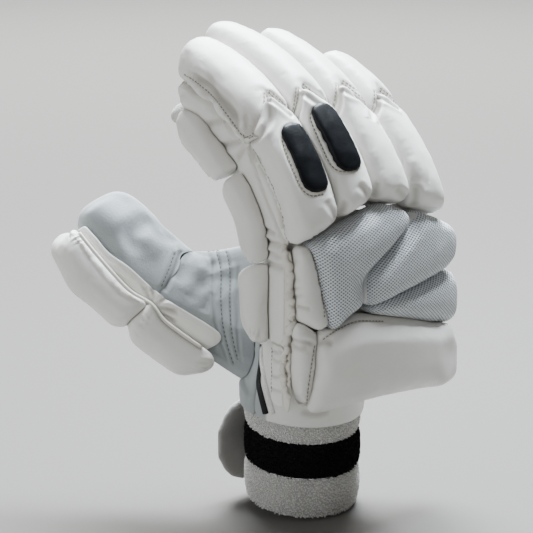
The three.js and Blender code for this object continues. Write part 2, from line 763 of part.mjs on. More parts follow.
const creaseAt = 0.385; // where the thumb's gusset ends and its sleeve begins
const tipRows = [creaseAt + 0.004, 0.5, 0.65, 0.85, 0.95, 1.015, 1.05];
const thumbSkin = new Skin();
const outerRings = tipRows.map((at) => thumbSkin.ring(thumbRing(at, 0)));
const innerRings = tipRows.map((at, i) => thumbSkin.ring(thumbRing(at - (i > 3 ? 0.012 : 0), leatherWall)));
for (let i = 0; i + 1 < tipRows.length; i++) {
  thumbSkin.band(outerRings[i], outerRings[i + 1]);
  thumbSkin.band(innerRings[i + 1], innerRings[i]);
}
thumbSkin.band(innerRings[0], outerRings[0]);
const lastRow = tipRows.length - 1;
thumbSkin.fan(outerRings[lastRow], thumbAt(0, thumbLength * 1.06, -thumbThickness / 2), true);
thumbSkin.fan(innerRings[lastRow], thumbAt(0, thumbLength * 1.04, -thumbThickness / 2), false);
addMesh("thumb_sleeve", thumbSkin.geometry(), greyLeather, thumb);

// A white leather strip under the thumb's rolls comes round to the sleeve's sides.
const channelRows = [0.02, 0.14, 0.26, 0.38, 0.5, 0.65, 0.8, 0.9, 0.96];
const channelThickness = 1.3;
const channelGap = 0.8;
const channelSides = 9.2; // how far down the thumb's sides it comes, and more towards the hand
addMesh("thumb_back", loft(channelRows.map((at) => {
  const sides = channelSides + 12 * Math.max(0.4 - at, 0);
  const half = (interpolate(thumbTable, "deep", at) * thumbThickness) / 2;
  const turn = Math.asin(Math.max(1 - sides / half, 0) ** (1 / 0.85));
  const angles = Array.from({ length: 9 }, (_, i) => turn + ((Math.PI - 2 * turn) * i) / 8);
  return sheetRing(
    thumbRing(at, -channelGap - channelThickness, angles), thumbRing(at, -channelGap, angles));
})), whiteLeather, thumb);

const thumbBase = channelGap + channelThickness + 0.6;
for (const { name, from, to, start, end } of [
  { name: "thumb_roll_lower", from: 0.015, to: 0.405, start: 6, end: 4 },
  { name: "thumb_roll_upper", from: 0.42, to: 1.0, start: 4, end: 12 },
]) {
  const [low, high] = [from * thumbLength, to * thumbLength];
  const w = thumbRollWidth / 2;
  addMesh(name, cushion({
    outline: roundedOutline(
      [[-w, low, start], [w, low, start], [w, high, end], [-w, high, end]], outlineStep),
    spine: [[0, low + w * 0.9], [0, high - w * 0.95]],
    height: thumbRollHeight,
    base: thumbBase,
    map: thumbAt,
  }), whiteLeather, thumb);
}

// Piping along the rolls' inner edge
const pipingRadius = 1.3;
const pipingRows = 12;
addMesh("thumb_piping", loft(Array.from({ length: pipingRows }, (_, i) => {
  const along = (0.03 + (0.9 * i) / (pipingRows - 1)) * thumbLength;
  return Array.from({ length: 6 }, (_, k) => {
    const angle = (k * Math.PI) / 3;
    return thumbAt(
      thumbRollWidth / 2 + pieceGap + pipingRadius * (1 + Math.cos(angle)), along,
      thumbBase + 0.3 + pipingRadius * Math.sin(angle));
  });
})), whiteLeather, thumb);

// The gusset runs from the palm to the crease. It ends on the palm's surface, and the palm is open there.
const gussetRows = [-0.45, -0.3, -0.15, 0, 0.12, 0.24, 0.32, creaseAt];
const inThumb = (geometry) => geometry.applyMatrix4(thumb.matrixWorld);
const gusset = toSolid(inThumb(loft(
  [
    ...gussetRows.map((at) => thumbRing(at, 0)),
    ...gussetRows.toReversed().map((at) => thumbRing(at, leatherWall)),
  ],
  { joined: true })));
const lumen = toSolid(inThumb(loft(
  [-0.47, ...gussetRows.slice(1)].map((at) => thumbRing(at, leatherWall)))));
const shellRows = shellTable.map(({ at }) => at);
const handFilled = toSolid(loft(shellRows.map((at) => shellRing(at, -pieceGap))));
const toThumb = thumb.matrixWorld.clone().invert();
const roundStrip = toSolid(shellPatch(
  [turnedEdge.from - 0.1, 25, 26, turnedEdge.to + 0.1], -2 * pieceGap - 0.9, 0.2, turnedEdge.rows));
const gussetCut = largest(gusset.subtract(handFilled).subtract(roundStrip));
addMesh("thumb_gusset", fromSolid(gussetCut).applyMatrix4(toThumb), greyLeather, thumb);

const palmWhole = toSolid(shellPatch(
  [halfSteps + seamGap, ...wholeSteps(halfSteps, 2 * halfSteps), 2 * halfSteps - seamGap], 0, leatherWall));
addMesh("palm", fromSolid(largest(palmWhole.subtract(lumen))), greyLeather);

// Cuff: three knitted bands, one above the other, with the black stripe between
const cuffSides = 28;
function cuffBand(from, to) {
  const ring = (height, inset) =>
    Array.from({ length: cuffSides }, (_, i) => {
      const turn = (2 * Math.PI * i) / cuffSides;
      const x = (cuffWidth / 2 - inset) * Math.cos(turn);
      const y = (cuffDepth / 2 - inset) * Math.sin(turn);
      return new THREE.Vector3(x, y, height + slantRise(y));
    });
  const middle = (from + to) / 2;
  return loft(
    [ring(from, from ? 0.6 : 1.6), ring(middle, 0), ring(to, 0.6), ring(to, cuffWall), ring(from, cuffWall)],
    { joined: true });
}
const bandGap = 0.4;
addMesh("cuff_lower", cuffBand(0, stripeStart - bandGap), whiteTowel);
addMesh("cuff_stripe", cuffBand(stripeStart, stripeStart + stripeHeight), blackTowel);
addMesh("cuff_upper", cuffBand(stripeStart + stripeHeight + bandGap, cuffHeight), whiteTowel);

// Strap: round the palm side of the cuff, with a free rounded tab past the thumb side
const strapPath = [];
const strapFrom = 12;
const strapTo = 96;
const strapSteps = 8;
for (let i = 0; i <= strapSteps; i++) {
  const turn = (strapFrom + ((strapTo - strapFrom) * i) / strapSteps) * degree;
  const reach = pieceGap + strapThickness / 2;
  strapPath.push(new THREE.Vector2(
    (cuffWidth / 2 + reach) * Math.cos(turn), (cuffDepth / 2 + reach) * Math.sin(turn)));
}
const strapLeave = strapPath[strapSteps].clone().sub(strapPath[strapSteps - 1]).normalize();
for (const share of [0.2, 0.45, 0.68, 0.84, 0.94, 1])
  strapPath.push(strapPath[strapSteps].clone().addScaledVector(strapLeave, share * tabLength));
const strapEnd = strapPath[strapPath.length - 1];
const strapRings = strapPath.map((point, i) => {
  const ahead = strapPath[Math.min(i + 1, strapPath.length - 1)];
  const behind = strapPath[Math.max(i - 1, 0)];
  const side = ahead.clone().sub(behind).normalize().rotateAround(new THREE.Vector2(), -Math.PI / 2);
  const toEnd = Math.min(point.distanceTo(strapEnd) / (strapWidth * 0.4), 1);
  const half = (strapWidth / 2) * (i > strapSteps ? Math.sqrt(Math.max(1 - (1 - toEnd) ** 2, 0.1)) : 1);
  const middle = strapStart + strapWidth / 2;
  const face = (away) => [-1, -0.33, 0.33, 1].map((share) => new THREE.Vector3(
    point.x + side.x * away, point.y + side.y * away, middle + share * half + slantRise(point.y)));
  return sheetRing(face(strapThickness / 2), face(-strapThickness / 2));
});
addMesh("wrist_strap", loft(strapRings), greyStrap);

export default glove;
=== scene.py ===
# Right-hand batting glove: leather pads, suede thumb, towelling cuff and strap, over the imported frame
import math

import bpy
import numpy as np
from mathutils import Matrix, Vector
from mathutils.bvhtree import BVHTree


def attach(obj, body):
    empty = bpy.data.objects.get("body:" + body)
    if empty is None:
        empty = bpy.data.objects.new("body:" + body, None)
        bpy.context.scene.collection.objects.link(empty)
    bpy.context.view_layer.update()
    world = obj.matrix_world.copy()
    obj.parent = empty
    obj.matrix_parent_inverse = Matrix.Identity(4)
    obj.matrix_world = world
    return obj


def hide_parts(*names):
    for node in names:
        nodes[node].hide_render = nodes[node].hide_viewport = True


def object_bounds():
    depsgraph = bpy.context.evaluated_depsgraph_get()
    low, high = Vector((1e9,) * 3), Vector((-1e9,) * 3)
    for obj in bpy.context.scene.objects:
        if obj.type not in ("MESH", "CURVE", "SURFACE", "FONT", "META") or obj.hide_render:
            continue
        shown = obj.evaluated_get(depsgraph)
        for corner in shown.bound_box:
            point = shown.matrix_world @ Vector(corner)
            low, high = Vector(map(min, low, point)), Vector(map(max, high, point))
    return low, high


mm = 0.001
tiny = 1e-6  # keeps a division from meeting zero

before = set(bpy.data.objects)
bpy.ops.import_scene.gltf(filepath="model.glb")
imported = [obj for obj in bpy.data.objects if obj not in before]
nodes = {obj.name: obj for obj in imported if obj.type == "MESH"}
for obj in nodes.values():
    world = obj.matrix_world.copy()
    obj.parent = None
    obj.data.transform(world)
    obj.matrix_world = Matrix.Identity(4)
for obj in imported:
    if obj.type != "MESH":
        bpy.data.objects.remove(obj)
cadLow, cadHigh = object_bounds()
bpy.ops.object.select_all(action="DESELECT")
print("frame loaded,", len(nodes), "nodes")


# Camera, where the photograph was taken from
camera = {
    "target": (3.35 * mm, 36.0 * mm, 128.9 * mm), "azimuth": -40, "elevation": 13,
    "distance": 1.1, "lens": 128.1, "sensor": 36, "pixels": 533,
}


def wayToCamera():
    a, e = math.radians(camera["azimuth"]), math.radians(camera["elevation"])
    return Vector((math.sin(a) * math.cos(e), -math.cos(a) * math.cos(e), math.sin(e)))


bpy.ops.object.camera_add(location=Vector(camera["target"]) + wayToCamera() * camera["distance"])
eye = bpy.context.object
eye.rotation_euler = (-wayToCamera()).to_track_quat("-Z", "Y").to_euler()
eye.data.lens = camera["lens"]
eye.data.sensor_width = camera["sensor"]
bpy.context.scene.camera = eye
bpy.context.view_layer.update()


def sightLine(pixel):  # the line of sight through a pixel of the photograph
    half = camera["pixels"] / 2
    across = (pixel[0] - half) / camera["pixels"] * camera["sensor"]
    up = (half - pixel[1]) / camera["pixels"] * camera["sensor"]
    way = eye.matrix_world.to_3x3() @ Vector((across, up, -camera["lens"]))
    return eye.matrix_world.translation.copy(), way.normalized()


# Mesh helpers
def only(piece):
    bpy.ops.object.select_all(action="DESELECT")
    piece.select_set(True)
    bpy.context.view_layer.objects.active = piece


def places(mesh):
    flat = np.empty(len(mesh.vertices) * 3)
    mesh.vertices.foreach_get("co", flat)
    return flat.reshape(-1, 3)


def facings(mesh):
    flat = np.empty(len(mesh.vertices) * 3)
    mesh.vertices.foreach_get("normal", flat)
    return flat.reshape(-1, 3)


def move(mesh, points):
    mesh.vertices.foreach_set("co", np.ascontiguousarray(points).ravel())
    mesh.update()


def modify(piece, kind, **settings):
    only(piece)
    added = piece.modifiers.new(kind.lower(), kind)
    for key, value in settings.items():
        setattr(added, key, value)
    bpy.ops.object.modifier_apply(modifier=added.name)


def smooth(piece, rounds):
    modify(piece, "SMOOTH", factor=0.5, iterations=rounds)


def remesh(piece, voxel):
    modify(piece, "REMESH", mode="VOXEL", voxel_size=voxel)


def subdivide(piece, levels):
    modify(piece, "SUBSURF", levels=levels, render_levels=levels)


def cutOut(node):  # a merged copy of a CAD node, as the start of its soft piece
    piece = bpy.data.objects.new(node + "_soft", nodes[node].data.copy())
    bpy.context.scene.collection.objects.link(piece)
    piece.data.materials.clear()
    only(piece)
    bpy.ops.object.mode_set(mode="EDIT")
    bpy.ops.mesh.select_all(action="SELECT")
    bpy.ops.mesh.remove_doubles(threshold=0.02 * mm)
    bpy.ops.mesh.customdata_custom_splitnormals_clear()
    bpy.ops.object.mode_set(mode="OBJECT")
    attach(piece, "root")
    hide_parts(node)
    return piece


def wear(piece, finish, slot):
    piece.data.materials.clear()
    piece.data.materials.append(finish)
    only(piece)
    bpy.ops.object.shade_smooth()


def swell(piece, much):
    move(piece.data, places(piece.data) + facings(piece.data) * much)


def within(points, others, span):  # which points lie in the box round others, widened by span
    near = (points > others.min(axis=0) - span) & (points < others.max(axis=0) + span)
    return near.all(axis=1)


def newPiece(name, points, faces):
    mesh = bpy.data.meshes.new(name)
    mesh.from_pydata(points.tolist(), [], faces)
    mesh.update()
    piece = bpy.data.objects.new(name, mesh)
    bpy.context.scene.collection.objects.link(piece)
    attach(piece, "root")
    return piece


made = {}

# Padded pieces: remeshed, blown up by the cloth simulation by at most so much, and swelled
padding = {"voxel": 1.45 * mm, "pressure": 50, "quality": 5, "frames": 20, "fill": 0.85}
fingers = ("index", "middle", "ring", "little")
padKinds = {
    "upper": {"nodes": [f"upper_roll_{finger}" for finger in fingers],
              "rounding": 6, "most": 1.8 * mm, "swell": 1.5 * mm},
    "lower": {"nodes": [f"lower_roll_{finger}" for finger in fingers],
              "rounding": 6, "most": 1.2 * mm, "swell": 1.15 * mm},
    "thumb": {"nodes": ["thumb_roll_lower", "thumb_roll_upper"],
              "rounding": 6, "most": 1.6 * mm, "swell": 1.1 * mm},
    "panel": {"nodes": ["knuckle_panel_upper", "knuckle_panel_side", "knuckle_panel_middle",
                        "knuckle_panel_lower", "wrist_bar", "wrist_bar_end"],
              "rounding": 3, "most": 0.7 * mm, "swell": 1.2 * mm},
    "guard": {"nodes": ["index_guard_lower", "index_guard_middle", "index_guard_upper"],
              "rounding": 6, "most": 1.0 * mm, "swell": 0.7 * mm},
}


def blowUp(pieces):
    starts = {}
    for piece in pieces:
        cloth = piece.modifiers.new("cloth", "CLOTH")
        cloth.settings.use_pressure = True
        cloth.settings.uniform_pressure_force = padding["pressure"]
        cloth.settings.effector_weights.gravity = 0
        cloth.settings.quality = padding["quality"]
        cloth.point_cache.frame_start = 1
        cloth.point_cache.frame_end = padding["frames"]
        starts[piece.name] = places(piece.data)
    for step in range(1, padding["frames"] + 1):
        bpy.context.scene.frame_set(step)
    for piece in pieces:
        only(piece)
        bpy.ops.object.modifier_apply(modifier="cloth")
        moved = places(piece.data) - starts[piece.name]
        moved -= moved.mean(axis=0)
        length = np.linalg.norm(moved, axis=1, keepdims=True)
        kept = np.minimum(1, piece["most"] / np.maximum(length, tiny))
        move(piece.data, starts[piece.name] + moved * kept)


for sizes in padKinds.values():
    for name in sizes["nodes"]:
        piece = cutOut(name)
        remesh(piece, padding["voxel"])
        smooth(piece, sizes["rounding"])
        piece["most"] = sizes["most"]
        made[name] = piece
blowUp(list(made.values()))
for sizes in padKinds.values():
    for name in sizes["nodes"]:
        swell(made[name], sizes["swell"])
        smooth(made[name], 2)
        subdivide(made[name], 1)
print("padding made,", len(made), "pieces")

# Leather shells, strips and the cuff: smoothed copies of the sewn shapes
woven = {  # how often each is subdivided
    "hand_back": 3, "index_side_wall": 3, "wrist_side_strip": 3, "thumb_back": 3, "thumb_piping": 2,
    "edge_binding": 3, "palm_edge_strip": 2, "thumb_sleeve": 3, "finger_sleeve_index": 2,
    "finger_sleeve_middle": 2, "finger_sleeve_ring": 2, "finger_sleeve_little": 2,
    "cuff_lower": 3, "cuff_stripe": 3, "cuff_upper": 3,
}
for name, levels in woven.items():
    piece = cutOut(name)
    bpy.ops.object.mode_set(mode="EDIT")
    bpy.ops.mesh.select_all(action="SELECT")
    bpy.ops.mesh.tris_convert_to_quads(face_threshold=math.radians(60), shape_threshold=math.radians(80))
    bpy.ops.object.mode_set(mode="OBJECT")
    subdivide(piece, levels)
    made[name] = piece

remeshed = {
    "palm": {"thicken": 0.3 * mm, "voxel": 0.6 * mm, "rounding": 50, "swell": 0.05 * mm},
    "thumb_gusset": {"thicken": 0.4 * mm, "voxel": 0.6 * mm, "rounding": 14, "swell": 0.1 * mm},
    "wrist_strap": {"voxel": 0.8 * mm, "rounding": 40, "swell": 0.7 * mm},
    "oval_insert_index": {"voxel": 0.7 * mm, "rounding": 30, "swell": 0.75 * mm},
    "oval_insert_middle": {"voxel": 0.7 * mm, "rounding": 30, "swell": 0.75 * mm},
}
for name, sizes in remeshed.items():
    piece = cutOut(name)
    swell(piece, sizes.get("thicken", 0))  # the thinnest walls would be left with holes
    remesh(piece, sizes["voxel"])
    smooth(piece, sizes["rounding"])
    swell(piece, sizes["swell"])
    made[name] = piece
print("shells made")


# Sculpting and sewing along lines drawn over the photograph
def tree(piece):
    faces = [tuple(face.vertices) for face in piece.data.polygons]
    return BVHTree.FromPolygons([tuple(p) for p in places(piece.data)], faces)


trees = {name: tree(piece) for name, piece in made.items()}
gloveAway = np.arange(1.0, 1.22, 0.003)  # how far from the camera the glove is, in metres


def onPiece(pixel, names):  # where the line of sight meets the pieces, and the way that place faces
    start, way = sightLine(pixel)
    best = None
    for name in names:
        place, facing, _, far = trees[name].ray_cast(start, way)
        if place is not None and (best is None or far < best[2]):
            best = (place, facing, far)
    if best:
        return best[0], best[1]
    for far in gloveAway:  # the line passes beside the pieces, so their place nearest to it
        for name in names:
            place, facing, _, away = trees[name].find_nearest(start + way * float(far))
            if place is not None and (best is None or away < best[2]):
                best = (place, facing, away)
    return best[0], best[1]


def smoothLine(pixels, step=1.3):  # points a step apart on a curve through the given ones
    points = [np.array(p, float) for p in pixels]
    line = []
    for i in range(len(points) - 1):
        a, b = points[i], points[i + 1]
        before = points[i - 1] if i else a - (b - a)
        after = points[i + 2] if i + 2 < len(points) else b + (b - a)
        parts = max(int(np.linalg.norm(b - a) / step), 1)
        for k in range(parts):
            t = k / parts
            line.append(0.5 * (
                2 * a + (b - before) * t + (2 * before - 5 * a + 4 * b - after) * t ** 2
                + (3 * a - before - 3 * b + after) * t ** 3))
    return line + [points[-1]]


def soften(rows, times):
    for _ in range(times):
        rows[1:-1] = (rows[:-2] + 2 * rows[1:-1] + rows[2:]) / 4
    return rows


def surfaceLine(pixels, names, softness=2):  # a drawn line laid on the pieces, and the way they face there
    hits = [onPiece(pixel, names) for pixel in smoothLine(pixels)]
    line = soften(np.array([tuple(place) for place, _ in hits]), softness)
    facing = soften(np.array([tuple(f) for _, f in hits]), 6)
    return line, facing / np.linalg.norm(facing, axis=1, keepdims=True)


# Bulges that the photograph shows: the pieces, a place on the first of them and where it is drawn to,
# in pixels of the photograph, then how wide the bulge is and how far it comes forward, in mm
bulges = [
    ("wrist_bar_end", (301, 341), (297, 333), 8, 0.5),
    ("wrist_bar", (330, 338), (323, 331), 8, 0.5),
    ("thumb_sleeve", (186, 257), (179, 252), 6, 0.5),
    ("lower_roll_index", (276, 109), (270, 98), 5, 2.2),
    ("lower_roll_middle", (306, 99), (302, 91), 5, 2.2),
    ("lower_roll_ring", (346, 96), (341, 87), 5, 2.2),
    ("lower_roll_little", (382, 102), (378, 95), 5, 2.0),
    ("thumb_back", (91, 221), (85, 227), 10, 0),
    ("thumb_back", (112, 246), (106, 250), 12, 0),
    ("thumb_piping thumb_back thumb_roll_upper thumb_roll_lower", (142, 311), (150, 308), 9, 0),
    ("thumb_back thumb_piping", (207, 346), (209, 341), 8, 0),
    ("thumb_back", (211, 334), (219, 340), 9, 0),
    ("thumb_roll_lower", (196, 360), (212, 366), 11, 0),
    ("thumb_roll_upper", (57, 240), (63, 243), 10, 0),
    ("thumb_roll_upper", (65, 231), (72, 233), 7, 0),
    ("index_guard_upper", (185, 124), (187, 113), 13, 0),
    ("index_guard_middle", (254, 250), (254, 258), 9, 0),
    ("index_guard_lower", (243, 332), (248, 334), 8, 0),
    ("index_guard_lower", (242, 272), (239, 276), 8, 0),
    ("knuckle_panel_side", (317, 318), (320, 327), 8, 0),
    ("knuckle_panel_upper", (332, 320), (334, 326), 8, 0),
    ("upper_roll_index", (180, 55), (185, 57), 9, 0),
    ("index_side_wall", (190, 92), (180, 89), 9, 0),
    ("index_side_wall", (191, 107), (183, 104), 7, 0),
    ("wrist_bar", (455, 351), (450, 351), 12, 2.2),
    ("upper_roll_index", (257, 112), (266, 115), 8, 0.6),
    ("knuckle_panel_side", (300, 311), (297, 319), 7, 0),
    ("wrist_bar_end", (300, 331), (298, 325), 7, 0),
    ("upper_roll_index", (203, 90), (199, 95), 9, 0),
    ("upper_roll_index", (224, 104), (218, 112), 9, 0),
    ("upper_roll_index", (243, 122), (237, 130), 9, 0),
    ("upper_roll_index", (255, 122), (256, 130), 7, 0),
    ("upper_roll_index", (264, 112), (266, 116), 6, 0),
    ("upper_roll_index", (262, 97), (268, 94), 5, 0),
    ("upper_roll_index", (257, 118), (265, 121), 6, 0.6),
    ("upper_roll_index", (254, 129), (260, 133), 5, 0.4),
    ("knuckle_panel_upper", (365, 275), (360, 276), 7, 0),
    ("knuckle_panel_upper", (364, 290), (359, 290), 7, 0),
    ("knuckle_panel_middle", (372, 268), (365, 270), 7, 0),
    ("knuckle_panel_middle", (370, 294), (363, 297), 7, 0),
    ("wrist_bar", (318, 400), (310, 408), 8, 0),
    ("wrist_bar", (446, 330), (450, 326), 7, 0),
    ("wrist_bar", (444, 378), (446, 381), 7, 0),
    ("thumb_roll_upper", (76, 284), (71, 289), 13, 0),
    ("thumb_roll_lower", (175, 366), (174, 371), 9, 0),
]


def bulge(names, start, end, wide, forward):
    place, _ = onPiece(start, names)
    eyePlace, way = sightLine(end)
    axis = -wayToCamera()
    drawn = eyePlace + way * ((place - eyePlace).dot(axis) / way.dot(axis)) - axis * forward
    for name in names:
        points = places(made[name].data)
        away = np.linalg.norm(points - np.array(place), axis=1) / wide
        move(made[name].data, points + np.exp(-away ** 2)[:, None] * np.array(drawn - place))
        trees[name] = tree(made[name])


for names, start, end, wide, forward in bulges:
    bulge(names.split(), start, end, wide * mm, forward * mm)
print("bulges drawn")

# Edges that are sewn to a neighbour are drawn to it: the piece, its neighbours, then the gap that is
# closed and how far off an edge still follows, in mm
sewnTo = [
    ("index_side_wall", ["lower_roll_index", "upper_roll_index"], 4.2, 11),
    ("thumb_gusset", ["thumb_sleeve"], 5.5, 12),
    ("palm", ["hand_back"], 1.3, 3.5),
    ("knuckle_panel_side", ["knuckle_panel_upper"], 2.2, 6),
    ("wrist_bar_end", ["wrist_bar"], 2.2, 6),
    ("wrist_bar", ["wrist_bar_end"], 1.4, 5),
    ("thumb_roll_lower", ["thumb_roll_upper"], 1.8, 5),
    ("thumb_roll_lower", ["thumb_piping"], 1.6, 5),
    ("cuff_lower", ["cuff_stripe"], 1.2, 4),
    ("cuff_upper", ["cuff_stripe"], 1.0, 4),
    ("wrist_side_strip", ["edge_binding"], 1.6, 5),
    ("wrist_side_strip", ["index_side_wall"], 2.4, 6),
    ("index_side_wall", ["edge_binding"], 1.6, 5),
]
hidden = -0.25  # walls that face further away from the camera stay, so that they don't meet the outer ones


def reach(piece, others, gap, span):
    points = places(piece.data)
    outer = facings(piece.data) @ np.array(wayToCamera()) > hidden
    for other in others:
        for i in np.where(within(points, places(made[other].data), span) & outer)[0]:
            place, _, _, away = trees[other].find_nearest(Vector(points[i]), span)
            if place is None:
                continue
            share = min(max((away - gap) / (span - gap), 0), 1)
            kept = share * share * (3 - 2 * share)
            points[i] = np.array(place) + (points[i] - np.array(place)) * kept
    move(piece.data, points)


for name, others, gap, span in sewnTo:
    reach(made[name], others, gap * mm, span * mm)
    trees[name] = tree(made[name])
print("edges drawn together")


def alongLine(line):
    return np.concatenate([[0], np.cumsum(np.linalg.norm(np.diff(line, axis=0), axis=1))])


def nearLine(piece, line, span):  # the points near a line, how far off they are, and from which place of it
    points = places(piece.data)
    near = np.where(within(points, line, span))[0]
    if not len(near):
        return points, near, near, near
    gaps = np.linalg.norm(points[near][:, None] - line[None], axis=2)
    return points, near, gaps.min(axis=1), gaps.argmin(axis=1)


def paint(piece, layer, amount):  # keeps the larger of the old and the new amounts, point by point
    held = piece.data.attributes.get(layer) or piece.data.attributes.new(layer, "FLOAT", "POINT")
    values = np.empty(len(piece.data.vertices))
    held.data.foreach_get("value", values)
    held.data.foreach_set("value", np.clip(np.maximum(values, amount), 0, 1))


crease = {
    "wall": 2.2 * mm,  # what lies deeper than this under a fold isn't moved with it
    "tail": 0.7,  # how a fold fades toward its ends
    "ridgeAt": 2, "ridgeWide": 0.9,  # the raised sides, in widths of the fold
    "sway": 1.7, "swayPace": 2.1, "swayStart": 0.6,  # puckers lie unevenly
}


def sculpt(piece, line, facing, wide, deep, ridge=0.35, pitch=None, ends=0.15, shadeAmount=0.6):
    points, near, gaps, nearest = nearLine(piece, line, 4 * wide)
    if not len(near):
        return
    away = gaps / wide
    run = alongLine(line)
    share = run[nearest] / max(run[-1], tiny)
    fade = np.clip(np.minimum(share, 1 - share) / max(ends, tiny), 0, 1) ** crease["tail"]
    if pitch:
        sway = crease["sway"] * np.sin(run[nearest] / pitch * crease["swayPace"] + crease["swayStart"])
        rise = np.cos(2 * np.pi * run[nearest] / pitch + sway) * np.exp(-away ** 2) * fade
    else:
        sides = ridge * np.exp(-((away - crease["ridgeAt"]) / crease["ridgeWide"]) ** 2)
        rise = (-np.exp(-away ** 2) + sides) * fade
    under = ((points[near] - line[nearest]) * facing[nearest]).sum(axis=1)
    rise *= np.clip(under / crease["wall"] + 1.5, 0, 1)
    points[near] += facing[nearest] * (rise * deep)[:, None]
    move(piece.data, points)
    # painted shade: the fold's hollow is darkened by the given amount
    mark = np.zeros(len(points))
    mark[near] = np.clip(-rise, 0, 1) * shadeAmount
    paint(piece, "paintedShade", mark)


